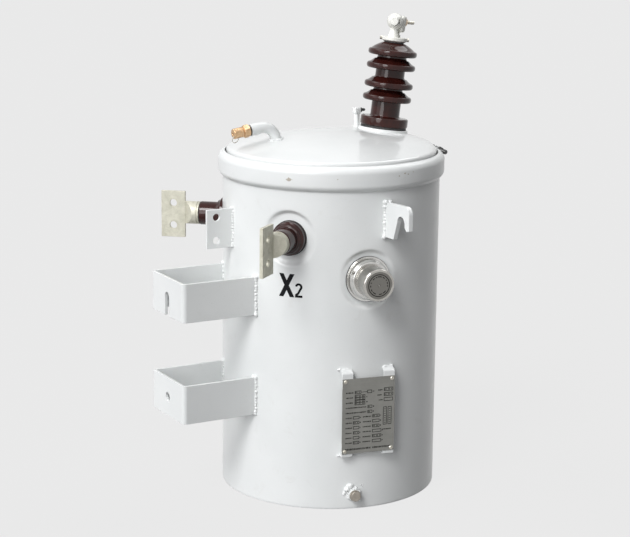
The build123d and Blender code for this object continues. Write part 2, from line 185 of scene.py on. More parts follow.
def addFloor():
    bpy.ops.mesh.primitive_plane_add(size=studioSettings["floorSize"], location=(0, 0, 0))
    floor = bpy.context.active_object
    floor.name = "studioFloor"
    material, tree = newMaterial("studioPaper")
    grey = studioSettings["shownGrey"]
    albedo = studioSettings["floorAlbedo"]
    diffuse = tree.add("ShaderNodeBsdfDiffuse", {"Color": rgb(albedo, albedo, albedo)})
    plain = tree.add("ShaderNodeEmission", {"Color": rgb(grey, grey, grey), "Strength": 1.0})
    seen = tree.maths("MULTIPLY", seenRays(tree), studioSettings["shownShare"])
    mix = tree.add("ShaderNodeMixShader", {0: seen, 1: diffuse.outputs[0], 2: plain.outputs[0]})
    tree.add("ShaderNodeOutputMaterial", {"Surface": mix.outputs[0]})
    floor.data.materials.append(material)
    return floor


addFloor()

worldSettings = {
    "bright": (0.80, 0.79, 0.84),
    "dark": (0.095, 0.093, 0.092),
    "azimuth": -168,
    "elevation": 22,
    "darkUpTo": 0.15,
    "brightFrom": 0.80,
    "strength": 0.67,
    "shown": 0.815,
}


def heading(azimuth, elevation):
    around = math.radians(azimuth)
    up = math.radians(elevation)
    return (math.cos(around) * math.cos(up), math.sin(around) * math.cos(up), math.sin(up))


def setWorld():
    world = bpy.data.worlds.new("studioWorld")
    bpy.context.scene.world = world
    world.use_nodes = True
    world.node_tree.nodes.clear()
    tree = Tree(world)
    grey = worldSettings["shown"]
    # the studio is bright on the bracket side and dark on the other
    towards = heading(worldSettings["azimuth"], worldSettings["elevation"])
    direction = tree.add("ShaderNodeTexCoord").outputs["Generated"]
    facing = tree.add("ShaderNodeVectorMath", {0: direction, 1: towards},
                      operation="DOT_PRODUCT").outputs["Value"]
    share = tree.add("ShaderNodeMapRange", {
        "Value": facing, "From Min": worldSettings["darkUpTo"], "From Max": worldSettings["brightFrom"]},
                     interpolation_type="SMOOTHSTEP").outputs["Result"]
    colour = tree.blend(share, rgb(*worldSettings["dark"]), rgb(*worldSettings["bright"]))
    light = tree.add("ShaderNodeBackground", {"Color": colour, "Strength": worldSettings["strength"]})
    shown = tree.add("ShaderNodeBackground", {"Color": rgb(grey, grey, grey), "Strength": 1.0})
    mix = tree.add("ShaderNodeMixShader", {0: seenRays(tree), 1: light.outputs[0], 2: shown.outputs[0]})
    tree.add("ShaderNodeOutputWorld", {"Surface": mix.outputs[0]})


setWorld()


def addLamp(name, energy, azimuth, elevation, width):
    data = bpy.data.lights.new(name, "SUN")
    data.energy = energy
    data.angle = math.radians(width)
    lamp = bpy.data.objects.new(name, data)
    towards = Vector(heading(azimuth, elevation))
    lamp.location = Vector(studioSettings["lampAim"]) + towards * studioSettings["lampDistance"]
    lamp.rotation_euler = towards.to_track_quat("Z", "Y").to_euler()
    bpy.context.scene.collection.objects.link(lamp)


# each sun: energy, azimuth, elevation and width
lampSettings = {
    "frontLow": (0.83, -150, 15, 30),
    "frontHigh": (1.80, -150, 45, 22),
    "sideLow": (0.17, -180, 15, 30),
    "sideHigh": (0.11, -180, 45, 30),
    "rearSide": (0.60, -210, 45, 30),
    "rear": (0.85, 18, 52, 40),
    "lidFill": (0.15, -60, 80, 40),
}
for name, settings in lampSettings.items():
    addLamp(name, *settings)
print("studio ready")


# places and turns, given in mm and degrees
def shift(x, y, z):
    return Matrix.Translation((x * mm, y * mm, z * mm))


def spin(angle, axis):
    return Matrix.Rotation(math.radians(angle), 4, axis)


def circlePoint(radius, angle):
    turn = math.radians(angle)
    return (radius * math.cos(turn), radius * math.sin(turn))


def directions(angle):
    # straight out from the tank, and round it
    x, y = circlePoint(1.0, angle)
    return Vector((x, y, 0)), Vector((-y, x, 0))


# a place on the tank: X runs round it, Y up and Z straight out
def outward(angle, distance, height):
    out, across = directions(angle)
    place = Matrix((across, Vector((0, 0, 1)), out)).transposed().to_4x4()
    place.translation = out * distance * mm + Vector((0, 0, height * mm))
    return place


# finishes
enamelSettings = {
    "colour": (0.79, 0.808, 0.802),
    "shade": (0.735, 0.757, 0.752),
    "grime": (0.40, 0.385, 0.345),
    "speckSize": 850.0,
    "peelSize": 210.0,
    "roughness": 0.30,
}


def enamelMaterial(name, marks=(), shadeUndersides=False, grime=0.35, coat=0.3):
    # marks are small patches of another colour: place in mm, half width, half height and colour
    material, tree = newMaterial(name)
    wide = tree.noise(5.0, 4.0, 0.55)
    colour = tree.blend(tree.ramp(wide, 0.35, 0.70), rgb(*enamelSettings["colour"]),
                        rgb(*enamelSettings["shade"]))
    cloud = tree.noise(24.0, 5.0, 0.65, 0.6)
    dust = tree.ramp(cloud, 0.60, 0.80, 0.0, grime)
    colour = tree.blend(dust, colour, rgb(0.62, 0.615, 0.585))
    speck = tree.noise(enamelSettings["speckSize"], 1.5)
    speck = tree.ramp(speck, 0.735, 0.76, 0.0, 0.5)
    colour = tree.blend(speck, colour, rgb(*enamelSettings["grime"]))
    # worn corners let a little primer through
    corner = tree.add("ShaderNodeNewGeometry").outputs["Pointiness"]
    corner = tree.ramp(corner, 0.56, 0.66)
    chips = tree.ramp(tree.noise(160.0, 3.0, 0.7), 0.56, 0.64)
    corner = tree.maths("MULTIPLY", corner, chips)
    colour = tree.blend(tree.maths("MULTIPLY", corner, 0.4), colour, rgb(0.42, 0.41, 0.38))
    if shadeUndersides:
        # painted shade: faces turned towards the floor are darkened, standing in for the shadow under them
        normal = tree.add("ShaderNodeNewGeometry").outputs["Normal"]
        down = tree.add("ShaderNodeSeparateXYZ", {0: normal}).outputs[2]
        down = tree.ramp(down, -0.55, -0.85)
        scale = tree.ramp(tree.noise(320.0, 3.0), 0.35, 0.6, 0.35, 0.95)
        colour = tree.blend(tree.maths("MULTIPLY", down, scale), colour, rgb(0.10, 0.095, 0.09))
    for centre, across, up, tint in marks:
        moved = tree.add("ShaderNodeVectorMath", {0: tree.place(), 1: [-value * mm for value in centre]},
                         operation="ADD").outputs[0]
        parts = tree.add("ShaderNodeSeparateXYZ", {0: moved}).outputs
        side = tree.maths("ADD", tree.maths("ABSOLUTE", parts[0]), tree.maths("ABSOLUTE", parts[1]))
        side = tree.maths("DIVIDE", side, across * mm)
        rise = tree.maths("DIVIDE", tree.maths("ABSOLUTE", parts[2]), up * mm)
        reach = tree.maths("ADD", side, rise)
        reach = tree.maths("ADD", reach, tree.ramp(tree.noise(500.0, 3.0), 0.3, 0.7, -0.25, 0.25))
        colour = tree.blend(tree.ramp(reach, 1.05, 0.8), colour, rgb(*tint))
    peel = tree.noise(enamelSettings["peelSize"], 2.0, 0.4)
    ripple = tree.noise(34.0, 2.0, 0.4)
    normal = tree.bump(ripple, 0.05, 0.004)
    normal = tree.bump(peel, 0.07, 0.0006, under=normal)
    rough = tree.ramp(cloud, 0.3, 0.8, enamelSettings["roughness"], enamelSettings["roughness"] + 0.12)
    tree.finish(colour, rough, normal, {"Specular IOR Level": 0.4, "Coat Weight": coat,
                                        "Coat Roughness": 0.04, "Coat IOR": 1.5})
    return material


def glazeMaterial():
    material, tree = newMaterial("brownGlaze")
    pool = tree.noise(60.0, 4.0, 0.6)
    fine = tree.noise(420.0, 3.0, 0.6)
    colour = tree.blend(tree.ramp(pool, 0.35, 0.68), rgb(0.022, 0.0048, 0.0038), rgb(0.040, 0.0084, 0.0064))
    # the glaze runs thin and lighter on the rounded rims
    edge = tree.ramp(tree.add("ShaderNodeNewGeometry").outputs["Pointiness"], 0.50, 0.58)
    colour = tree.blend(tree.maths("MULTIPLY", edge, 0.10), colour, rgb(0.12, 0.034, 0.024))
    colour = tree.blend(tree.ramp(fine, 0.66, 0.74, 0.0, 0.6), colour, rgb(0.02, 0.006, 0.005))
    normal = tree.bump(tree.noise(75.0, 2.0), 0.16, 0.0016)
    normal = tree.bump(fine, 0.05, 0.0004, under=normal)
    tree.finish(colour, tree.ramp(pool, 0.3, 0.7, 0.07, 0.15), normal,
                {"Specular IOR Level": 0.32, "Coat Weight": 0.08, "Coat Roughness": 0.03})
    return material


def rubberMaterial():
    material, tree = newMaterial("blackRubber")
    bloom = tree.noise(120.0, 4.0, 0.6)
    colour = tree.blend(tree.ramp(bloom, 0.4, 0.75), rgb(0.016, 0.016, 0.017), rgb(0.05, 0.05, 0.048))
    normal = tree.bump(tree.noise(900.0, 2.0), 0.25, 0.0003)
    tree.finish(colour, tree.ramp(bloom, 0.3, 0.8, 0.5, 0.75), normal)
    return material


def tinnedMaterial(name, light, dark, metallic, wear):
    material, tree = newMaterial(name)
    mottle = tree.noise(70.0, 5.0, 0.65, 0.4)
    pits = tree.noise(520.0, 3.0, 0.6)
    colour = tree.blend(tree.ramp(mottle, 0.35, 0.70), rgb(*light), rgb(*dark))
    stain = tree.ramp(tree.noise(38.0, 4.0, 0.7, 1.0), 0.60, 0.72)
    colour = tree.blend(tree.maths("MULTIPLY", stain, 0.45 * wear), colour, rgb(0.36, 0.33, 0.22))
    colour = tree.blend(tree.ramp(pits, 0.64, 0.72, 0.0, 0.55 * wear), colour, rgb(0.28, 0.27, 0.22))
    normal = tree.bump(mottle, 0.12 * wear, 0.0012)
    normal = tree.bump(pits, 0.22 * wear, 0.0005, under=normal)
    tree.finish(colour, tree.ramp(mottle, 0.3, 0.75, 0.38, 0.56), normal, {"Metallic": metallic})
    return material


def zincMaterial(name="zincSteel", light=(0.62, 0.60, 0.54), dark=(0.34, 0.32, 0.27), metallic=0.85):
    material, tree = newMaterial(name)
    cloud = tree.noise(220.0, 4.0, 0.6)
    colour = tree.blend(tree.ramp(cloud, 0.35, 0.72), rgb(*light), rgb(*dark))
    stain = tree.ramp(tree.noise(90.0, 4.0, 0.7), 0.58, 0.72, 0.0, 0.5)
    colour = tree.blend(stain, colour, rgb(0.22, 0.19, 0.13))
    normal = tree.bump(tree.noise(1100.0, 2.0), 0.12, 0.0002)
    tree.finish(colour, tree.ramp(cloud, 0.3, 0.75, 0.28, 0.46), normal, {"Metallic": metallic})
    return material


def turnedMaterial(name, place, light, dark, cut, rough, paintedReflectionHeight=0.0):
    # fine lathe rings about the cap's own axis
    material, tree = newMaterial(name)
    inverse = place.inverted()
    local = tree.add("ShaderNodeMapping", {"Vector": tree.place(), "Location": inverse.translation,
                                           "Rotation": inverse.to_euler()}).outputs[0]
    parts = tree.add("ShaderNodeSeparateXYZ", {0: local}).outputs
    away = tree.add("ShaderNodeCombineXYZ", {0: parts[0], 1: parts[1]}).outputs[0]
    away = tree.add("ShaderNodeVectorMath", {0: away}, operation="LENGTH").outputs["Value"]
    along = tree.maths("ADD", away, parts[2])
    ring = tree.add("ShaderNodeCombineXYZ", {0: along}).outputs[0]
    lines = tree.noise(2600.0, 2.0, 0.6, vector=ring)
    cloud = tree.noise(45.0, 3.0)
    colour = tree.blend(tree.ramp(cloud, 0.35, 0.7), rgb(*light), rgb(*dark))
    colour = tree.blend(tree.ramp(lines, 0.55, 0.75, 0.0, cut), colour, rgb(0.36, 0.35, 0.32))
    if paintedReflectionHeight:
        # painted reflection: the flat end is darkened and browned, standing in for the dark surroundings it
        # mirrors
        face = tree.ramp(parts[2], (paintedReflectionHeight - 0.5) * mm, (paintedReflectionHeight - 0.2) * mm)
        inside = tree.ramp(away, 25.6 * mm, 25.0 * mm)
        colour = tree.blend(tree.maths("MULTIPLY", face, inside), colour, rgb(0.20, 0.193, 0.178))
    normal = tree.bump(lines, cut * 0.3, 0.0002)
    tree.finish(colour, tree.ramp(cloud, 0.3, 0.7, rough, rough + 0.09), normal, {"Metallic": 1.0})
    return material


def brassMaterial():
    material, tree = newMaterial("valveBrass")
    cloud = tree.noise(190.0, 4.0, 0.6)
    colour = tree.blend(tree.ramp(cloud, 0.35, 0.72), rgb(0.72, 0.50, 0.31), rgb(0.52, 0.33, 0.17))
    stain = tree.ramp(tree.noise(110.0, 4.0, 0.7), 0.60, 0.74, 0.0, 0.55)
    colour = tree.blend(stain, colour, rgb(0.30, 0.17, 0.07))
    normal = tree.bump(tree.noise(900.0, 2.0), 0.15, 0.0002)
    tree.finish(colour, tree.ramp(cloud, 0.3, 0.75, 0.27, 0.42), normal, {"Metallic": 0.9})
    return material


def plateMaterial():
    material, tree = newMaterial("etchedPlate")
    turn = math.radians(-layout["plateAngle"] - 90)
    local = tree.add("ShaderNodeMapping", {"Vector": tree.place(), "Rotation": (0, 0, turn),
                                           "Scale": (20.0, 1.0, 900.0)}).outputs[0]
    brush = tree.noise(1.0, 2.0, 0.6, vector=local)
    cloud = tree.noise(26.0, 4.0, 0.6)
    colour = tree.blend(tree.ramp(cloud, 0.35, 0.7), rgb(0.270, 0.268, 0.248), rgb(0.215, 0.214, 0.198))
    colour = tree.blend(tree.ramp(brush, 0.5, 0.75, 0.0, 0.45), colour, rgb(0.30, 0.30, 0.27))
    normal = tree.bump(brush, 0.18, 0.0002)
    tree.finish(colour, tree.ramp(brush, 0.3, 0.7, 0.34, 0.48), normal, {"Metallic": 0.45})
    return material


def inkMaterial(name, dark, light, roughness):
    material, tree = newMaterial(name)
    worn = tree.noise(330.0, 4.0, 0.65)
    colour = tree.blend(tree.ramp(worn, 0.62, 0.76), rgb(*dark), rgb(*light))
    normal = tree.bump(worn, 0.1, 0.0002)
    tree.finish(colour, tree.ramp(worn, 0.3, 0.7, roughness, roughness + 0.15), normal,
                {"Specular IOR Level": 0.08})
    return material


changerPlace = outward(layout["changerAngle"], layout["flatDistance"], layout["changerHeight"])


# a speck on the band: angle round it and height, then half width, half height and colour
def bandMark(angle, height, across, up, tint):
    return ((*circlePoint(layout["bandRadius"], angle), height), across, up, tint)


bandMarks = [
    bandMark(-140.3, 632.5, 9.5, 4.0, (0.44, 0.40, 0.34)),
    bandMark(-116.5, 636.0, 2.4, 1.2, (0.50, 0.47, 0.42)),
    bandMark(-81.0, 641.0, 3.4, 1.5, (0.40, 0.34, 0.26)),
    bandMark(-79.0, 638.5, 2.4, 1.2, (0.36, 0.31, 0.24)),
    bandMark(-84.5, 637.0, 2.4, 1.2, (0.40, 0.36, 0.29)),
    bandMark(-75.5, 641.5, 2.2, 1.1, (0.42, 0.37, 0.29)),
    bandMark(-58.0, 616.0, 2.4, 1.3, (0.14, 0.12, 0.11)),
]
# two darker bluish patches on the lid
lidMarks = [
    ((-2.0, 52.0, 690.0), 9.0, 30.0, (0.52, 0.55, 0.57)),
    ((14.0, 40.0, 690.0), 5.0, 30.0, (0.46, 0.49, 0.51)),
]
enamel = enamelMaterial("whiteEnamel")
bandEnamel = enamelMaterial("bandEnamel", marks=bandMarks, grime=0.3)
lidEnamel = enamelMaterial("lidEnamel", marks=lidMarks, grime=0.15, coat=0.8)
# enamel with painted shade on the faces turned towards the floor, for the lifting lugs
undersideShadeEnamel = enamelMaterial("undersideShadeEnamel", shadeUndersides=True)
glaze = glazeMaterial()
rubber = rubberMaterial()
tinned = tinnedMaterial("tinnedBronze", (0.66, 0.645, 0.545), (0.50, 0.49, 0.40), 0.35, 1.0)
paleTin = tinnedMaterial("paleTin", (0.86, 0.865, 0.82), (0.74, 0.74, 0.69), 0.08, 0.35)
zinc = zincMaterial()
darkSteel = zincMaterial("darkSteel", (0.12, 0.12, 0.12), (0.03, 0.03, 0.03), 0.7)
bronze = zincMaterial("siliconBronze", (0.62, 0.50, 0.38), (0.42, 0.33, 0.24), 0.8)
agedBronze = zincMaterial("agedBronze", (0.42, 0.38, 0.33), (0.26, 0.235, 0.20), 0.7)
# the cap's flat end gets a painted dark reflection
polished = turnedMaterial("polishedSteel", changerPlace, (0.52, 0.507, 0.478), (0.42, 0.405, 0.375), 0.30,
                          0.13, paintedReflectionHeight=60.2)
spunSteel = turnedMaterial("spunSteel", changerPlace, (0.68, 0.674, 0.655), (0.56, 0.553, 0.535), 0.03, 0.17)
brass = brassMaterial()
etched = plateMaterial()
markInk = inkMaterial("markInk", (0.009, 0.009, 0.010), (0.05, 0.05, 0.05), 0.6)
plateInk = inkMaterial("plateInk", (0.018, 0.018, 0.016), (0.06, 0.06, 0.055), 0.55)
finishes = {
    "paint": enamel, "seal_rubber": rubber, "brown_glaze": glaze, "tinned_metal": tinned,
    "zinc_steel": zinc, "polished_steel": polished, "valve_brass": brass, "plate_metal": etched,
}
slotOf = {part["node"]: part["material_slot"] for part in frame["record"]["subparts"]}
for name, node in nodes.items():
    node.data.materials.clear()
    node.data.materials.append(finishes[slotOf[name]])
for name, finish in (("cover_post_bolt", darkSteel), ("ring_bolt", darkSteel), ("earth_bolt", agedBronze),
                     # the lifting lugs take the enamel with painted shade on their undersides
                     ("front_lifting_lug", undersideShadeEnamel), ("rear_lifting_lug", undersideShadeEnamel)):
    nodes[name].data.materials[0] = finish
print("finishes given")


# modelling helpers
def clearSelection():
    if bpy.context.mode != "OBJECT":
        bpy.ops.object.mode_set(mode="OBJECT")
    bpy.ops.object.select_all(action="DESELECT")


def pick(piece):
    clearSelection()
    piece.select_set(True)
    bpy.context.view_layer.objects.active = piece


def editMesh(piece):
    pick(piece)
    bpy.ops.object.mode_set(mode="EDIT")
    bpy.ops.mesh.select_all(action="SELECT")


def leaveEdit():
    bpy.ops.object.mode_set(mode="OBJECT")


def addModifier(piece, kind, **settings):
    pick(piece)
    modifier = piece.modifiers.new("shape", kind)
    for key, value in settings.items():
        setattr(modifier, key, value)
    bpy.ops.object.modifier_apply(modifier="shape")


def settle(piece, place=None):
    # puts the piece in its place and leaves its object at the origin
    pick(piece)
    if place is not None:
        piece.matrix_world = place @ piece.matrix_world
    bpy.ops.object.transform_apply(location=True, rotation=True, scale=True)
    return piece


def carve(piece, tool, operation):
    addModifier(piece, "BOOLEAN", operation=operation, object=tool, solver="EXACT")
    bpy.data.objects.remove(tool)


def smooth(piece, angle=35.0):
    pick(piece)
    bpy.ops.object.shade_smooth_by_angle(angle=math.radians(angle))


def fixNormals(piece):
    editMesh(piece)
    bpy.ops.mesh.normals_make_consistent(inside=False)
    leaveEdit()


def addBlock(place, *sizes):
    clearSelection()
    bpy.ops.mesh.primitive_cube_add(size=1.0)
    return settle(bpy.context.active_object, place @ Matrix.Diagonal([size * mm for size in sizes] + [1.0]))


def finishPiece(piece, name, material, replaced=()):
    piece.name = name
    piece.data.name = name
    piece.data.materials.clear()
    piece.data.materials.append(material)
    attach(piece, "root")
    if replaced:
        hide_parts(*replaced)
    return piece


def joinPieces(pieces):
    clearSelection()
    for piece in pieces:
        piece.select_set(True)
    bpy.context.view_layer.objects.active = pieces[0]
    bpy.ops.object.join()
    return bpy.context.active_object


def copyPiece(piece, place):
    twin = piece.copy()
    twin.data = piece.data.copy()
    bpy.context.scene.collection.objects.link(twin)
    twin.matrix_world = place
    return twin


def turnProfile(profile, segments=64, capped=True):
    # a circle extruded upwards ring by ring; profile is (radius, height) in mm
    clearSelection()
    radius, height = profile[0]
    bpy.ops.mesh.primitive_circle_add(vertices=segments, radius=radius * mm,
                                      fill_type="NGON" if capped else "NOTHING",
                                      location=(0, 0, height * mm))
    piece = bpy.context.active_object
    editMesh(piece)
    for nextRadius, nextHeight in profile[1:]:
        rise = (nextHeight - height) * mm
        bpy.ops.mesh.extrude_region_move(TRANSFORM_OT_translate={"value": (0, 0, rise)})
        grow = nextRadius / radius
        if abs(grow - 1.0) > 1e-7:
            bpy.ops.transform.resize(value=(grow, grow, 1.0), center_override=(0, 0, nextHeight * mm))
        radius, height = nextRadius, nextHeight
    bpy.ops.object.mode_set(mode="OBJECT")
    return settle(piece)


def arcPoints(centreRadius, centreHeight, size, start, end, steps):
    points = []
    for step in range(steps + 1):
        across, up = circlePoint(size, start + (end - start) * step / steps)
        points.append((centreRadius + across, centreHeight + up))
    return points


def smoothStep(value):
    value = min(max(value, 0.0), 1.0)
    return value * value * (3.0 - 2.0 * value)


# tank wall with its pressed flats
tankSettings = {
    "height": 632.0,
    "inside": 195.0,
    "foot": 206.9,
    "segments": 384,
    # close rows of points where the flats are
    "fineFrom": 384.0,
    "fineTo": 582.0,
    "fineStep": 2.2,
    "coarseStep": 43.0,
    # angle, height and radius of each flat
    "flats": [(layout["lowAngle"], layout["lowHeight"], 45.5),
              (-layout["lowAngle"], layout["lowHeight"], 45.5),
              (layout["changerAngle"], layout["changerHeight"], 49.5)],
    "blend": 8.0,
}


def addTankShell():
    radius, top = layout["tankRadius"], tankSettings["height"]
    inside, foot = tankSettings["inside"], tankSettings["foot"]
    flatDistance, blend = layout["flatDistance"], tankSettings["blend"]
    height = 40.0
    rows = [0.0, 1.2, 4.0, height]
    while height < tankSettings["fineFrom"]:
        height += tankSettings["coarseStep"]
        rows.append(height)
    while height < tankSettings["fineTo"]:
        height += tankSettings["fineStep"]
        rows.append(height)
    rows += [600.0, 615.0, top]
    profile = [(radius - 0.6, rows[0])] + [(radius, row) for row in rows[1:]]
    # the inside: a thin lip at both ends, then a wall that stays clear of the flats
    profile += [(inside, top), (inside, 21.0), (foot, 20.0), (foot, 0.0)]
    shell = turnProfile(profile, tankSettings["segments"], capped=False)
    editMesh(shell)
    bpy.ops.mesh.select_mode(type="VERT")
    bpy.ops.mesh.select_all(action="DESELECT")
    leaveEdit()
    for vertex in shell.data.vertices:
        if vertex.co.z < 0.0001:
            vertex.select = True
    bpy.ops.object.mode_set(mode="EDIT")
    bpy.ops.mesh.select_mode(type="EDGE")
    bpy.ops.mesh.bridge_edge_loops()
    leaveEdit()
    for angle, middle, flat in tankSettings["flats"]:
        out, across = directions(angle)
        for vertex in shell.data.vertices:
            place = vertex.co / mm
            depth = place.dot(out)
            # only the outer skin in front of the flat moves
            if depth < flatDistance - 5.0 or place.x ** 2 + place.y ** 2 < (radius - 5.0) ** 2:
                continue
            away = math.hypot(place.dot(across), place.z - middle)
            if away > flat + blend:
                continue
            moved = flatDistance + (depth - flatDistance) * smoothStep((away - flat) / blend)
            vertex.co += out * (moved - depth) * mm
    fixNormals(shell)
    smooth(shell, 40)
    return finishPiece(shell, "tankShell", enamel, ("tank_wall",))


addTankShell()
print("tank wall pressed")


# domed cover with the hump under the high bushing
coverSettings = {
    "shoulder": 203.0,
    "corner": 6.0,
    "crown": 692.0,
    "shoulderHeight": 662.0,
    "inside": 200.0,
    "flange": 216.0,
    "underside": 636.0,
    "flangeTop": 640.0,
    "domeFoot": 650.5,
    "segments": 320,
    "humpTop": 64.0,
    "humpFoot": 124.0,
    "humpDrop": 6.0,
    "humpRise": 16.0,
    "humpLimit": 666.0,
    "soft": 12.0,
}
leanPlace = shift(*layout["seat"]) @ spin(layout["lean"], "Y")


def domeHeight(radius):
    sag = coverSettings["crown"] - coverSettings["shoulderHeight"]
    ball = (coverSettings["shoulder"] ** 2 + sag ** 2) / (2 * sag)
    return coverSettings["crown"] - (ball - math.sqrt(ball ** 2 - radius ** 2))


def softMax(first, second, width):
    gap = max(width - abs(first - second), 0.0) / width
    return max(first, second) + gap * gap * width * 0.25


def addCoverShell():
    edge, corner, inside = coverSettings["shoulder"], coverSettings["corner"], coverSettings["inside"]
    underside, flangeTop = coverSettings["underside"], coverSettings["flangeTop"]
    humpTop, humpFoot = coverSettings["humpTop"], coverSettings["humpFoot"]
    flange = coverSettings["flange"]
    profile = [(inside, underside), (flange, underside), (flange, flangeTop),
               (edge, flangeTop), (edge, flangeTop + 8.0)]
    start = domeHeight(edge - corner) - 1.0
    profile += arcPoints(edge - corner, start - corner * 0.72, corner, 0, 80, 7)
    profile += [(ring * 3.0, domeHeight(ring * 3.0)) for ring in range(65, 0, -1)]
    profile.append((0.4, coverSettings["crown"]))
    shell = turnProfile(profile, coverSettings["segments"])
    inverse = leanPlace.inverted()
    lean = math.cos(math.radians(layout["lean"]))
    for vertex in shell.data.vertices:
        if vertex.co.z < coverSettings["domeFoot"] * mm:
            continue
        place = vertex.co / mm
        away = math.hypot(place.x, place.y)
        local = inverse @ vertex.co / mm
        slope = (math.hypot(local.x, local.y) - humpTop) / (humpFoot - humpTop)
        fall = softMax(slope, 0.0, 0.9) * coverSettings["humpRise"] + coverSettings["humpDrop"]
        hump = place.z + (-fall - local.z) / lean
        # the hump gives way towards the cover's edge
        hump = min(hump, coverSettings["humpLimit"] + inside - away)
        raised = softMax(place.z, hump, coverSettings["soft"])
        share = smoothStep((edge - 2.0 - away) / 8.0)
        vertex.co.z = (place.z + (raised - place.z) * share) * mm
    fixNormals(shell)
    smooth(shell, 50)
    return finishPiece(shell, "coverShell", lidEnamel, ("cover",))


def addBushingSeat():
    profile = [(56.0, -12.0), (53.5, -8.2), (51.4, -6.4)]
    profile += arcPoints(51.6, -3.2, 3.2, 250, 190, 4)
    profile += arcPoints(46.0, -2.2, 2.2, 0, 90, 6) + [(30.0, 0.0)]
    seat = turnProfile(profile, 128)
    settle(seat, leanPlace)
    smooth(seat, 50)
    return finishPiece(seat, "bushingSeat", lidEnamel, ("high_bushing_seat",))


addCoverShell()
addBushingSeat()
print("cover formed")


# clamp ring
bandSettings = {
    "segments": 360,
    "closure": -7.0,
    "halfGap": 5.0,
}


def addClampBand():
    outside = arcPoints(207.5, 622.0, 11.0, 292, 360, 10)
    outside[0] = (212.0, 611.0)
    outside += arcPoints(204.5, 642.5, 14.0, 2, 78, 14)
    lip = [(206.6, 657.0), (205.7, 656.2), (205.6, 654.6)]
    inside = arcPoints(204.2, 641.5, 11.8, 76, 0, 10) + [(216.0, 619.0)]
    inside += arcPoints(210.5, 619.0, 5.5, 0, -80, 6)
    profile = outside + lip + inside
    band = turnProfile(profile, bandSettings["segments"], capped=False)
    pick(band)
    bpy.ops.object.mode_set(mode="EDIT")
    bpy.ops.mesh.select_mode(type="EDGE")
    bpy.ops.mesh.select_all(action="SELECT")
    bpy.ops.mesh.region_to_loop()
    bpy.ops.mesh.bridge_edge_loops()
    bpy.ops.mesh.select_mode(type="FACE")
    bpy.ops.mesh.select_all(action="DESELECT")
    bpy.ops.object.mode_set(mode="OBJECT")
    out, across = directions(bandSettings["closure"])
    for face in band.data.polygons:
        near = abs(face.center.dot(across)) < bandSettings["halfGap"] * mm
        face.select = near and face.center.dot(out) > 0
    bpy.ops.object.mode_set(mode="EDIT")
    bpy.ops.mesh.delete(type="FACE")
    bpy.ops.mesh.select_mode(type="EDGE")
    bpy.ops.mesh.select_non_manifold()
    bpy.ops.mesh.fill_holes(sides=0)
    bpy.ops.object.mode_set(mode="OBJECT")
    fixNormals(band)
    smooth(band, 40)
    return finishPiece(band, "clampBand", bandEnamel, ("clamp_ring",))


addClampBand()
print("clamp ring rolled")


# porcelain
highSettings = {
    "core": 28.5,
    "shed": 47.5,
    "levels": (60.0, 86.0, 122.0, 148.5),
    "slope": 0.72,
    "rim": 5.2,
    "rimDrop": 2.2,
    "rimRise": -0.2,
    "segments": 96,
}


def addHighPorcelain():
    core = highSettings["core"]
    rim = highSettings["rim"]
    outer = highSettings["shed"]
    profile = arcPoints(43.0, 7.5, 3.5, -90, 0, 5) + arcPoints(43.0, 18.5, 3.5, 0, 90, 6)
    profile += arcPoints(core + 4.0, 26.0, 4.0, 270, 180, 5)
    for index, level in enumerate(highSettings["levels"]):
        last = index == len(highSettings["levels"]) - 1
        # hollow underside, thick round lip, then the sloping top
        profile += [(core, level - 5.5)] + arcPoints(core + 3.0, level - 1.8, 3.0, 180, 95, 4)
        profile += [(core + 7.0, level - 2.4), (outer - rim - 3.2, level - 4.6)]
        profile += arcPoints(outer - rim, level - highSettings["rimDrop"], rim, -112, 0, 8)
        profile += arcPoints(outer - rim, level + highSettings["rimRise"], rim, 0, 62, 6)
        if last:
            profile += [(42.4, 153.4), (37.0, 157.8), (29.5, 162.4), (24.5, 165.0), (21.8, 166.2),
                        (20.4, 166.5)]
        else:
            rise = (outer - rim - 1.4 - core) * highSettings["slope"]
            profile += [(outer - 5.6, level + 5.4), (outer - 8.6, level + 7.2),
                        (core + 5.0, level + 3.0 + rise)]
            profile += arcPoints(core + 4.6, level + 7.2 + rise, 4.6, 238, 180, 4)
    piece = turnProfile(profile, highSettings["segments"])
    settle(piece, leanPlace)
    smooth(piece, 60)
    return finishPiece(piece, "highPorcelain", glaze, ("high_bushing_porcelain",))


def addLowPorcelain(name, angle, node):
    profile = [(29.6, 3.0)] + arcPoints(30.6, 4.6, 1.4, -90, 0, 4) + arcPoints(29.6, 12.2, 2.4, 0, 70, 5)
    profile += [(27.6, 17.2)] + arcPoints(25.6, 18.6, 1.6, 10, 80, 4)
    profile += arcPoints(25.4, 22.6, 2.4, 250, 180, 4)
    profile += [(23.0, 30.0), (23.0, 53.8)] + arcPoints(21.6, 54.0, 1.4, 0, 90, 4)
    piece = turnProfile(profile, 80)
    settle(piece, outward(angle, layout["flatDistance"], layout["lowHeight"]))
    smooth(piece, 60)
    return finishPiece(piece, name, glaze, (node,))


addHighPorcelain()
addLowPorcelain("x1Porcelain", layout["lowAngle"], "x1_porcelain")
addLowPorcelain("x2Porcelain", -layout["lowAngle"], "x2_porcelain")
print("porcelain turned")


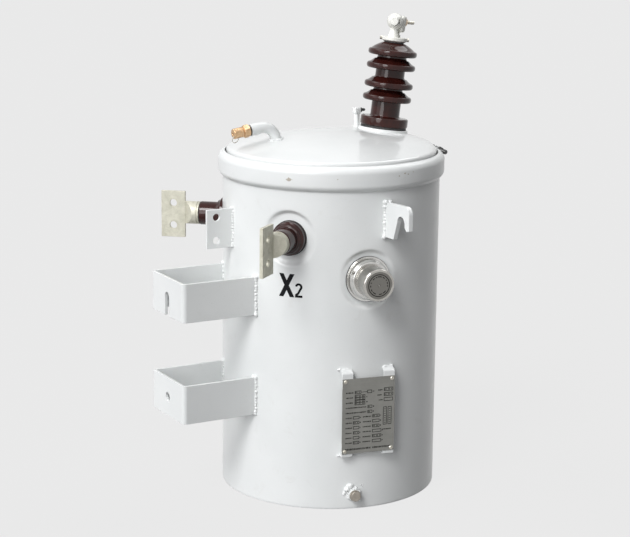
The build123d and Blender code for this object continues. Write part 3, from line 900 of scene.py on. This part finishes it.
# plates and castings with broken edges
edgeSettings = {
    "upper_hanger": ("upperHanger", 0.9, enamel, "paint"),
    "lower_hanger": ("lowerHanger", 0.9, enamel, "paint"),
    "front_lifting_lug": ("frontLug", 0.9, undersideShadeEnamel, "paint"),
    "rear_lifting_lug": ("rearLug", 0.9, undersideShadeEnamel, "paint"),
    "earth_pad": ("earthPad", 0.6, enamel, "paint"),
    "upper_plate_tabs": ("upperTabs", 0.6, enamel, "paint"),
    "lower_plate_tabs": ("lowerTabs", 0.6, enamel, "paint"),
    "ring_ears": ("ringEars", 0.7, bandEnamel, "paint"),
    "nameplate": ("platePanel", 0.35, etched, "plate_metal"),
    "x1_spade": ("x1Spade", 0.5, tinned, "tinned_metal"),
    "x2_spade": ("x2Spade", 0.5, tinned, "tinned_metal"),
    "x1_ferrule": ("x1Ferrule", 0.45, tinned, "tinned_metal"),
    "x2_ferrule": ("x2Ferrule", 0.45, tinned, "tinned_metal"),
    "high_bushing_cap": ("highCap", 0.5, paleTin, "tinned_metal"),
    "earth_bolt": ("earthBoltHead", 0.5, agedBronze, "zinc_steel"),
}


def breakEdges(node, name, width, material):
    source = nodes[node]
    piece = bpy.data.objects.new(name, source.data.copy())
    bpy.context.scene.collection.objects.link(piece)
    editMesh(piece)
    bpy.ops.mesh.remove_doubles(threshold=0.00001)
    bpy.ops.mesh.dissolve_limited(angle_limit=math.radians(0.6))
    leaveEdit()
    addModifier(piece, "BEVEL", width=width * mm, segments=2, limit_method="ANGLE",
                angle_limit=math.radians(38), use_clamp_overlap=False)
    smooth(piece, 32)
    addModifier(piece, "WEIGHTED_NORMAL", mode="FACE_AREA", weight=50, keep_sharp=True)
    return finishPiece(piece, name, material, (node,))


for node, (name, width, material, slot) in edgeSettings.items():
    breakEdges(node, name, width, material)
print("edges broken")


# weld runs, built from overlapping beads
weldSettings = {
    "bead": 3.7,
    "pitch": 5.6,
    "corner": 1.2,
    "voxel": 0.85,
    "seed": 11,
    # middle height of each hanger, then a weld's ends below and above it
    "hangers": (207.0, 402.0),
    "hangerEnds": (-36.0, 36.5),
    # drops that ran off the earth boss: aside, up from the rim and size
    "drips": ((-10.5, 44.5, 6.4), (-14.0, 39.5, 5.4), (-6.0, 45.0, 5.0), (-17.5, 33.0, 3.6),
              (14.0, 46.5, 1.6), (19.5, 48.5, 1.2), (26.0, 51.0, 1.1), (17.0, 43.5, 1.5),
              (-20.0, 29.0, 2.2), (23.0, 47.0, 0.9), (31.5, 53.5, 0.8)),
}


def wallReach(across):
    # how far out the wall lies at a distance to the side
    return math.sqrt(layout["tankRadius"] ** 2 - across ** 2)


def onCover(x, y, rise):
    return Vector((x, y, domeHeight(math.hypot(x, y)) + rise))


def weldRun(start, end, bead, pitch):
    first, last = Vector(start), Vector(end)
    count = max(int(round((last - first).length / pitch)), 1)
    sizes = [bead] * (count + 1)
    sizes[0] = sizes[-1] = bead * weldSettings["corner"]
    return [(first.lerp(last, step / count), size) for step, size in enumerate(sizes)]


def addWelds():
    random.seed(weldSettings["seed"])
    bead, pitch = weldSettings["bead"], weldSettings["pitch"]
    runs = []
    for height in weldSettings["hangers"]:
        low, high = [height + end for end in weldSettings["hangerEnds"]]
        for y, inset in ((-70.6, 0.4), (-63.2, -0.6), (70.6, 0.4), (63.2, -0.6)):
            x = -wallReach(y) - inset - 0.4
            runs += weldRun((x, y, low), (x, y, high), bead, pitch)
    # both faces of the earth pad and of the lifting lugs
    for y in (4.2, 11.8):
        x = -wallReach(y) - 0.8
        runs += weldRun((x, y, 485.0), (x, y, 557.0), 3.0, 5.2)
    for side in (-1, 1):
        for x in (-5.0, 5.0):
            y = side * (wallReach(x) + 0.8)
            runs += weldRun((x, y, 526.0), (x, y, 588.0), 4.0, 6.2)
            runs.append((Vector((x * 0.8, y + side * 2.4, 590.0)), 5.2))
            runs.append((Vector((x * 1.1, y + side * 1.2, 524.5)), 4.8))
    plate = outward(layout["plateAngle"], 0.0, 0.0)
    for across in (-44.5, 44.5):
        for edge in range(-10, 11, 3):
            for rise in (88.5, -80.5):
                side = across + edge
                spot = plate @ Vector((side, layout["plateHeight"] + rise, wallReach(side) + 0.6))
                runs.append((spot, random.uniform(2.3, 2.7)))
    boss = outward(layout["bossAngle"], 0.0, 0.0)
    for turn in range(0, 360, 24):
        side, rise = circlePoint(11.4, turn)
        spot = boss @ Vector((side, layout["bossHeight"] + rise, wallReach(side) + 0.5))
        runs.append((spot, random.uniform(2.6, 3.8)))
    for side, rise, size in weldSettings["drips"]:
        runs.append((boss @ Vector((side, rise, wallReach(side) + size * 0.15)), size))
    for turn in range(0, 360, 20):
        x, y = circlePoint(11.6, turn)
        runs.append((onCover(layout["pipe"][0] + x, layout["pipe"][1] + y, 0.4), random.uniform(2.6, 3.3)))
    for turn in range(0, 360, 30):
        x, y = circlePoint(6.0, turn)
        runs.append((onCover(layout["post"][0] + x, layout["post"][1] + y, 4.0), 2.6))
    clearSelection()
    bpy.ops.mesh.primitive_ico_sphere_add(subdivisions=2, radius=mm)
    drop = bpy.context.active_object
    drops = []
    for spot, size in runs:
        wobble = Vector([random.uniform(-0.2, 0.2) * size for axis in range(3)])
        stretch = Matrix.Diagonal([size * random.uniform(0.80, 1.18) for axis in range(3)] + [1.0])
        drops.append(copyPiece(drop, shift(*(spot + wobble)) @ stretch))
    bpy.data.objects.remove(drop)
    welds = settle(joinPieces(drops))
    addModifier(welds, "REMESH", mode="VOXEL", voxel_size=weldSettings["voxel"] * mm)
    addModifier(welds, "SMOOTH", factor=0.5, iterations=2)
    pick(welds)
    bpy.ops.object.shade_smooth()
    return finishPiece(welds, "weldBeads", enamel)


addWelds()
print("welds laid")


# painted terminal marks, laid out flat and then wrapped on the tank
markSettings = {
    "x2Start": -146.5,
    "x1Start": 133.6,
    "bottom": 410.0,
    "letterWidth": 32.6,
    "letterHeight": 44.0,
    "letterStroke": 8.9,
    "numberLeft": 33.0,
    "numberWidth": 14.5,
    "numberHeight": 27.5,
    "numberStroke": 4.3,
    "standOff": 0.10,
}


def layStroke(points, width):
    # a flat bar drawn out along the points, its leading edge turned at each one
    clearSelection()
    start = Vector(points[0])
    course = (Vector(points[1]) - start).normalized()
    length = 0.2
    bpy.ops.mesh.primitive_plane_add(size=1.0, location=(0, 0, 0))
    stroke = bpy.context.active_object
    settle(stroke, Matrix.Translation((start + course * length / 2).to_3d())
           @ Matrix.Rotation(math.atan2(course.y, course.x), 4, "Z")
           @ Matrix.Diagonal((length, width, 1.0, 1.0)))
    pick(stroke)
    lead = [vertex.index for vertex in stroke.data.vertices
            if (vertex.co.to_2d() - start).dot(course) > length * 0.6]
    for vertex in stroke.data.vertices:
        vertex.select = vertex.index in lead
    for edge in stroke.data.edges:
        edge.select = all(index in lead for index in edge.vertices)
    for face in stroke.data.polygons:
        face.select = False
    bpy.ops.object.mode_set(mode="EDIT")
    bpy.ops.mesh.select_mode(type="EDGE")
    here = start + course * length
    for index in range(1, len(points)):
        target = Vector(points[index])
        step = target - here
        bpy.ops.mesh.extrude_region_move(TRANSFORM_OT_translate={"value": (step.x, step.y, 0)})
        if index + 1 < len(points):
            onward = (Vector(points[index + 1]) - target).normalized()
            bpy.ops.transform.rotate(value=course.angle_signed(onward), orient_axis="Z",
                                     center_override=target.to_3d())
            course = onward
        here = target
    leaveEdit()
    return stroke


def addTerminalMark(name, startAngle, number):
    width, height = markSettings["letterWidth"], markSettings["letterHeight"]
    margin = markSettings["letterStroke"] * 0.6
    strokes = []
    for slantX in (width / 2 - margin, margin - width / 2):
        slantY = height / 2
        # drawn past both ends, then cut level
        points = [(width / 2 + slantX * share, slantY + slantY * share)
                  for share in (-1.4, -0.7, 0.0, 0.7, 1.4)]
        stroke = layStroke(points, markSettings["letterStroke"] * 0.92)
        for vertex in stroke.data.vertices:
            level = min(max(vertex.co.y, 0.0), height)
            vertex.co.x += (level - vertex.co.y) * slantX / slantY
            vertex.co.y = level
        strokes.append(stroke)
    left = markSettings["numberLeft"]
    wide, tall = markSettings["numberWidth"], markSettings["numberHeight"]
    thick = markSettings["numberStroke"]
    if number == 2:
        size = (wide - thick) / 2
        bowl = [circlePoint(size, turn) for turn in range(172, -46, -18)]
        points = [(left + wide / 2 + x, tall - thick / 2 - size + y) for x, y in bowl]
        points += [(left + wide * 0.45, tall * 0.30), (left + 1.4, thick * 0.9)]
        strokes.append(layStroke(points, thick))
        foot = thick / 2
        strokes.append(layStroke([(left, foot), (left + wide / 2, foot), (left + wide, foot)], thick))
    else:
        stem = left + wide * 0.55
        strokes.append(layStroke([(stem, 0), (stem, tall / 2), (stem, tall)], thick))
        flag = [(left + wide * 0.12, tall * 0.78), (left + wide * 0.35, tall * 0.85),
                (left + wide * 0.5, tall - 1.0)]
        strokes.append(layStroke(flag, thick * 0.8))
    mark = joinPieces(strokes)
    editMesh(mark)
    bpy.ops.mesh.subdivide(number_cuts=2)
    leaveEdit()
    surface = layout["tankRadius"] + markSettings["standOff"]
    for vertex in mark.data.vertices:
        turn = math.radians(startAngle) + vertex.co.x / surface
        vertex.co = Vector((surface * math.cos(turn), surface * math.sin(turn),
                            markSettings["bottom"] + vertex.co.y)) * mm
    fixNormals(mark)
    addModifier(mark, "SOLIDIFY", thickness=0.12 * mm, offset=-1.0)
    smooth(mark, 30)
    return finishPiece(mark, name, markInk)


addTerminalMark("markX2", markSettings["x2Start"], 2)
addTerminalMark("markX1", markSettings["x1Start"], 1)
print("terminal marks painted")


# etched rules on the nameplate: plain dashes and empty boxes only
plateSettings = {
    "distance": 220.49,
    "line": 1.15,
    "firstRow": 46.0,
    "rowPitch": 9.8,
    "lastRow": -64.5,
    "seed": 5,
}


def addPlateMarks():
    random.seed(plateSettings["seed"])
    clearSelection()
    # one bar with broken corners, copied for every dash and every side of a box
    bpy.ops.mesh.primitive_plane_add(size=1.0)
    bar = bpy.context.active_object
    editMesh(bar)
    bpy.ops.mesh.bevel(offset=0.12, segments=1, affect="VERTICES")
    bpy.ops.mesh.extrude_region_move(TRANSFORM_OT_translate={"value": (0, 0, 0.05)})
    leaveEdit()
    bars = []
    line = plateSettings["line"]

    def lay(x, y, wide, tall):
        place = Matrix.Translation((x, y, 0)) @ Matrix.Diagonal((wide, tall, 1.0, 1.0))
        bars.append(copyPiece(bar, place))

    def dash(x, y, length, tall=2.7):
        reach = x
        while reach < x + length - 0.6:
            piece = min(random.uniform(1.0, 2.4), x + length - reach)
            lay(reach + piece / 2, y + random.uniform(-0.15, 0.15), piece, tall * random.uniform(0.75, 1.0))
            reach += piece + random.uniform(0.45, 0.9)

    def frameBox(x, y, wide, tall, filled=False):
        lay(x + wide / 2, y + tall / 2, wide, line)
        lay(x + wide / 2, y - tall / 2, wide, line)
        lay(x + line / 2, y, line, tall)
        lay(x + wide - line / 2, y, line, tall)
        if filled:
            for step in range(1, int(wide / 2.2)):
                if step % 3:
                    lay(x + step * 2.2, y, 1.3, tall * 0.5)

    rows = [plateSettings["firstRow"] - plateSettings["rowPitch"] * index for index in range(11)]
    dash(-45.5, rows[0], 15)
    frameBox(-28, rows[0], 13, 5.2, True)
    dash(-14.5, rows[0], 11, 1.6)
    frameBox(-3.0, rows[0], 9.5, 5.2)
    dash(8.0, rows[0], 4)
    dash(19.0, rows[0] + 1.0, 9)
    frameBox(30.5, rows[0] + 1.6, 18.5, 6.0, True)
    for index in (1, 2):
        dash(-45.5, rows[index], 14)
        frameBox(-28, rows[index] + 2.2, 21, 4.6, True)
        frameBox(-28, rows[index] - 2.2, 21, 4.6, True)
        dash(-4.5, rows[index], 2.2)
        dash(14.5 + index * 3, rows[index] + 1.0, 12 - index * 2)
        frameBox(30.5, rows[index] + 1.6, 18.5, 6.0, index == 1)
    for index in (3, 4):
        dash(-45.5, rows[index], 41)
        frameBox(-2.0, rows[index], 9.5, 5.0, True)
        dash(9.0, rows[index], 2.4)
    for index in range(5, 11):
        dash(-45.5, rows[index], 13)
        frameBox(-30.5, rows[index], 12.5, 5.0, index % 2 == 0)
        dash(-17.0, rows[index], 1.8)
        dash(-11.0, rows[index] + 0.3, 17)
        wide = 14.5 if index < 8 else 18.5
        frameBox(8.0, rows[index] + 0.6, wide, 5.0, index % 2 == 1)
        dash(9.2 + wide, rows[index] + 0.6, 1.8)
    for x in (30.0, 39.5):
        for side in (0.0, 6.5):
            lay(x + side, rows[5] - 1.0, line, 34.0)
        for level in (16.0, -18.0):
            lay(x + 3.25, rows[5] + level, 7.2, line)
        for step in range(7):
            lay(x + 3.25, rows[5] + 12.0 - step * 4.4, 3.4, 1.0)
    dash(29.0, rows[8] + 2.0, 17)
    dash(-46.0, plateSettings["lastRow"], 52, 3.8)
    dash(9.0, plateSettings["lastRow"], 37, 3.8)
    bpy.data.objects.remove(bar)
    marks = settle(joinPieces(bars))
    for vertex in marks.data.vertices:
        vertex.co = vertex.co * mm
    settle(marks, outward(layout["plateAngle"], plateSettings["distance"], layout["plateHeight"]))
    return finishPiece(marks, "plateMarks", plateInk)


addPlateMarks()
print("plate marked")


# engraved ring of index marks and the centre dimple on the tap changer, with a dark ring over the face groove
# as painted shade
changerSettings = {
    "face": 60.22,
    "markRing": 16.6,
    "markStroke": 1.7,
    # radius and stroke of the dark ring painted over the face groove as shade
    "grooveShadeRing": 20.4,
    "grooveShadeStroke": 1.1,
    # angles where each mark starts and ends
    "marks": ((100, 72), (66, 50), (38, 30), (20, 8), (0, -10), (-38, -62), (-68, -90), (-112, -136),
              (-142, -158), (-172, -184), (-196, -204), (-222, -238), (-246, -256)),
}


def addChangerMarks():
    arcs = []
    for start, end in changerSettings["marks"]:
        steps = max(int(abs(end - start) / 7), 1)
        arc = arcPoints(0.0, 0.0, changerSettings["markRing"], start, end, steps)
        arcs.append(layStroke(arc, changerSettings["markStroke"]))
    # painted shade: a dark ring laid over the groove in the cap's face
    ring = [circlePoint(changerSettings["grooveShadeRing"], turn) for turn in range(0, -366, -6)]
    arcs.append(layStroke(ring, changerSettings["grooveShadeStroke"]))
    for turn in (0, -120, -180, -300):
        arcs.append(layStroke([circlePoint(1.6, turn), circlePoint(3.4, turn)], 0.45))
    marks = joinPieces(arcs)
    fixNormals(marks)
    for vertex in marks.data.vertices:
        vertex.co = Vector((vertex.co.x, vertex.co.y, 0.0)) * mm
    addModifier(marks, "SOLIDIFY", thickness=0.10 * mm, offset=0.0)
    settle(marks, changerPlace @ shift(0, 0, changerSettings["face"]))
    return finishPiece(marks, "changerMarks", plateInk)


addChangerMarks()


# tap changer: turned flange and cap
def addChangerCap():
    profile = [(30.0, 18.4)] + arcPoints(29.9, 20.2, 0.6, -60, 0, 2) + [(30.5, 24.0), (30.5, 52.0)]
    profile += arcPoints(26.4, 56.9, 4.1, 2, 88, 9) + [(25.6, 60.8), (25.2, 60.2), (21.2, 60.2)]
    profile += [(20.9, 59.5), (19.9, 59.5), (19.6, 60.2), (3.4, 60.2), (2.4, 60.0), (0.6, 59.9)]
    cap = turnProfile(profile, 128)
    settle(cap, changerPlace)
    smooth(cap, 30)
    return finishPiece(cap, "changerCap", polished, ("changer_cap",))


def addChangerFlange():
    profile = [(42.5, 2.5), (42.5, 3.7), (42.2, 4.0), (36.5, 4.0), (36.5, 6.0), (37.4, 6.0)]
    profile += arcPoints(34.0, 9.8, 4.5, -50, 42, 9) + [(36.4, 14.2), (35.4, 16.2)]
    profile += arcPoints(33.0, 16.2, 2.3, 10, 88, 6) + [(30.7, 18.5)]
    flange = turnProfile(profile, 128)
    settle(flange, changerPlace)
    smooth(flange, 40)
    return finishPiece(flange, "changerFlange", spunSteel, ("changer_flange",))


addChangerCap()
addChangerFlange()
print("tap changer turned")


# threads, nuts and screws
def addThread(size, pitch, length, segments=20):
    # a triangular tooth wound up with the screw modifier
    clearSelection()
    bpy.ops.mesh.primitive_plane_add(size=1.0)
    tooth = bpy.context.active_object
    corners = [(size - pitch * 0.62, 0.0), (size, pitch * 0.5), (size - pitch * 0.62, pitch * 1.02),
               (size - pitch * 1.2, pitch * 0.5)]
    for index, (x, z) in zip([0, 1, 3, 2], corners):
        tooth.data.vertices[index].co = (x * mm, 0, z * mm)
    turns = max(int(length / pitch) - 1, 1)
    addModifier(tooth, "SCREW", axis="Z", angle=math.radians(360), screw_offset=pitch * mm,
                iterations=turns, steps=segments, render_steps=segments, use_merge_vertices=False)
    editMesh(tooth)
    bpy.ops.mesh.remove_doubles(threshold=0.000001)
    bpy.ops.mesh.normals_make_consistent(inside=False)
    leaveEdit()
    core = size - pitch * 0.7
    root = turnProfile([(size - pitch * 0.9, 0.0), (core, 0.3), (core, length - 0.8),
                        (size - pitch * 1.3, length)], segments)
    return joinPieces([root, tooth])


def hexNut(flats, length):
    # six sides with turned-off corners
    wide = flats / math.sqrt(3)
    clearSelection()
    bpy.ops.mesh.primitive_cylinder_add(vertices=6, radius=wide * mm, depth=length * mm,
                                        location=(0, 0, length * mm / 2))
    nut = settle(bpy.context.active_object)
    cone = turnProfile([(flats * 0.44, -0.01), (flats * 0.535, length * 0.14), (wide * 1.1, length * 0.30),
                        (wide * 1.1, length * 0.70), (flats * 0.535, length * 0.86),
                        (flats * 0.44, length + 0.01)], 36)
    carve(nut, cone, "INTERSECT")
    addModifier(nut, "BEVEL", width=0.25 * mm, segments=1, limit_method="ANGLE", angle_limit=math.radians(20),
                use_clamp_overlap=True)
    smooth(nut, 25)
    return nut


def addRingBolt():
    parts = [settle(addThread(4.6, 1.6, 82.0), shift(0, 0, -41))]
    parts += [settle(hexNut(13.0, 8.0), shift(0, 0, along)) for along in (-19.0, 11.0)]
    bolt = settle(joinPieces(parts), outward(bandSettings["closure"], 0.0, 0.0) @ shift(0, 646, 225.5)
                  @ spin(90, "Y"))
    smooth(bolt, 35)
    return finishPiece(bolt, "ringBolt", darkSteel, ("ring_bolt",))


# the terminal's parts, in the leaning bushing's own place
terminalSettings = {
    "turn": 20.0,
    "eye": (-4.5, 0.0, 208.0),
    "faceTurn": -148.0,
    "slotTurn": -133.8,
    "screw": (8.5, 0.0, 177.6),
    "stud": (18.0, 0.0, 208.0),
}
clampPlace = leanPlace @ spin(terminalSettings["turn"], "Z")


def addClampBolt():
    axis = clampPlace @ shift(*terminalSettings["stud"]) @ spin(90, "Y")
    shaft = addThread(3.6, 1.3, 36.0)
    smooth(shaft, 35)
    settle(shaft, axis)
    finishPiece(shaft, "clampStud", zinc, ("high_terminal_bolt",))
    washer = turnProfile([(8.4, 0.0), (9.0, 0.4), (9.0, 1.2), (8.4, 1.6), (3.0, 1.6)], 40)
    nut = joinPieces([washer, settle(hexNut(15.0, 7.5), shift(0, 0, 1.6))])
    settle(nut, axis)
    return finishPiece(nut, "clampNut", bronze, ("high_terminal_bolt",))


addRingBolt()
addClampBolt()
print("threads cut")


# high terminal: ball with a hexagon face, jaw and stud
def addHighTerminal():
    eye = shift(*terminalSettings["eye"])
    ball = turnProfile([(11.5, -30.6), (10.4, -28.0), (8.4, -21.0), (7.6, -15.6), (8.6, -13.4)]
                       + arcPoints(0.0, 0.0, 15.6, -56, 84, 14), 48)
    # the slot beside the hexagon
    slot = addBlock(spin(terminalSettings["slotTurn"], "Z") @ shift(14, 6.6, 1), 14.0, 2.8, 11.0)
    carve(ball, slot, "DIFFERENCE")
    parts = [settle(ball, eye)]
    parts.append(settle(hexNut(16.5, 19.0), eye @ spin(terminalSettings["faceTurn"], "Z") @ spin(90, "Y")))
    jaw = addBlock(shift(11.15, 0, 203.6), 13.7, 25.0, 32.0)
    for vertex in jaw.data.vertices:
        if vertex.co.z < 0.2:
            vertex.co.y *= 0.85
    addModifier(jaw, "BEVEL", width=4.5 * mm, segments=6, limit_method="ANGLE", angle_limit=math.radians(40))
    smooth(jaw, 35)
    parts.append(jaw)
    screw = shift(*terminalSettings["screw"])
    parts += [settle(hexNut(10.0, 5.0), screw), settle(addThread(3.6, 1.3, 12.0), screw)]
    terminal = settle(joinPieces(parts), clampPlace)
    smooth(terminal, 35)
    return finishPiece(terminal, "highClamp", paleTin, ("high_terminal",))


addHighTerminal()


def addCoverPost():
    x, y = layout["post"]
    base = domeHeight(math.hypot(x, y)) - 3.0
    stem = turnProfile([(6.4, base + 1.0), (5.6, base + 4.0), (5.5, base + 33.0), (4.0, base + 34.0)], 32)
    settle(stem, shift(x, y, 0))
    head = addBlock(shift(x, y, base + 39.4), 13.0, 13.0, 12.0)
    addModifier(head, "BEVEL", width=1.4 * mm, segments=3)
    post = joinPieces([stem, head])
    smooth(post, 35)
    finishPiece(post, "coverPost", enamel, ("cover_post",))
    screw = joinPieces([addThread(3.0, 1.1, 12.0), settle(hexNut(9.0, 4.0))])
    settle(screw, shift(x + 6.5, y, base + 40.4) @ spin(90, "Y"))
    return finishPiece(screw, "postScrew", darkSteel, ("cover_post_bolt",))


addCoverPost()
print("terminal and post made")


# relief valve
valveSettings = {
    "bend": (-149.17, layout["pipe"][1], 707.0),
    "droop": 8.0,
    "nut": 25.7,
    "flutes": 6,
    "fluteDepth": 0.085,
    "ring": 7.5,
    "ringWire": 0.75,
}
outletPlace = shift(*valveSettings["bend"]) @ spin(-90.0 - valveSettings["droop"], "Y") @ spin(90, "Z")


def addReliefValve():
    thread = settle(addThread(10.2, 1.5, 5.0, 36), outletPlace @ shift(0, 0, 22.4))
    smooth(thread, 35)
    finishPiece(thread, "valveThread", darkSteel, ("relief_valve",))
    nut = settle(hexNut(22.0, 13.0), shift(0, 0, valveSettings["nut"]))
    profile = [(8.6, 38.4), (9.0, 40.2), (9.9, 41.0), (9.9, 43.6), (9.0, 44.4), (9.0, 45.6), (9.9, 46.4),
               (9.9, 55.6)] + arcPoints(7.4, 57.2, 2.6, 10, 88, 6)
    profile += [(3.0, 59.8), (2.4, 58.9), (2.2, 55.0), (0.4, 54.6)]
    tail = turnProfile(profile, 60)
    for vertex in tail.data.vertices:
        spot = vertex.co / mm
        turn = math.atan2(spot.y, spot.x)
        if spot.z > 45.9 and math.hypot(spot.x, spot.y) > 6.0:
            # shallow flutes round the adjusting end
            dip = 1.0 - valveSettings["fluteDepth"] * max(math.cos(turn * valveSettings["flutes"]), 0.0) ** 2
            vertex.co.x *= dip
            vertex.co.y *= dip
    smooth(tail, 32)
    valve = settle(joinPieces([nut, tail]), outletPlace)
    finishPiece(valve, "reliefValve", brass, ("relief_valve",))
    clearSelection()
    bpy.ops.curve.primitive_bezier_circle_add(radius=valveSettings["ring"] * mm)
    ring = bpy.context.active_object
    ring.data.bevel_depth = valveSettings["ringWire"] * mm
    ring.data.bevel_resolution = 3
    ring.data.resolution_u = 12
    bpy.ops.object.convert(target="MESH")
    ring = bpy.context.active_object
    settle(ring, outletPlace @ shift(0, 10.5, 56) @ spin(78, "Y") @ Matrix.Rotation(0.3, 4, "X"))
    smooth(ring, 60)
    return finishPiece(ring, "pullRing", zinc)


addReliefValve()
print("relief valve made")


# plate screws with slots
screwSettings = {
    "distance": 220.5,
    "across": 46.5,
    "up": 68.0,
    # how far each slot is turned
    "turns": (35, 80, 55, 120),
}


def addPlateScrews():
    head = turnProfile([(3.8, 0.0), (3.8, 0.5)] + arcPoints(0.0, -1.9, 4.45, 33, 80, 6), 28)
    carve(head, addBlock(shift(0, 0, 2.4), 9.0, 1.0, 1.6), "DIFFERENCE")
    plate = outward(layout["plateAngle"], screwSettings["distance"], layout["plateHeight"])
    across, up = screwSettings["across"], screwSettings["up"]
    corners = ((-across, -up), (across, -up), (-across, up), (across, up))
    screws = [copyPiece(head, plate @ shift(x, y, 0) @ spin(turn, "Z"))
              for (x, y), turn in zip(corners, screwSettings["turns"])]
    bpy.data.objects.remove(head)
    screws = settle(joinPieces(screws))
    smooth(screws, 35)
    return finishPiece(screws, "plateScrews", zinc, ("nameplate_screws",))


addPlateScrews()
print("small parts made")
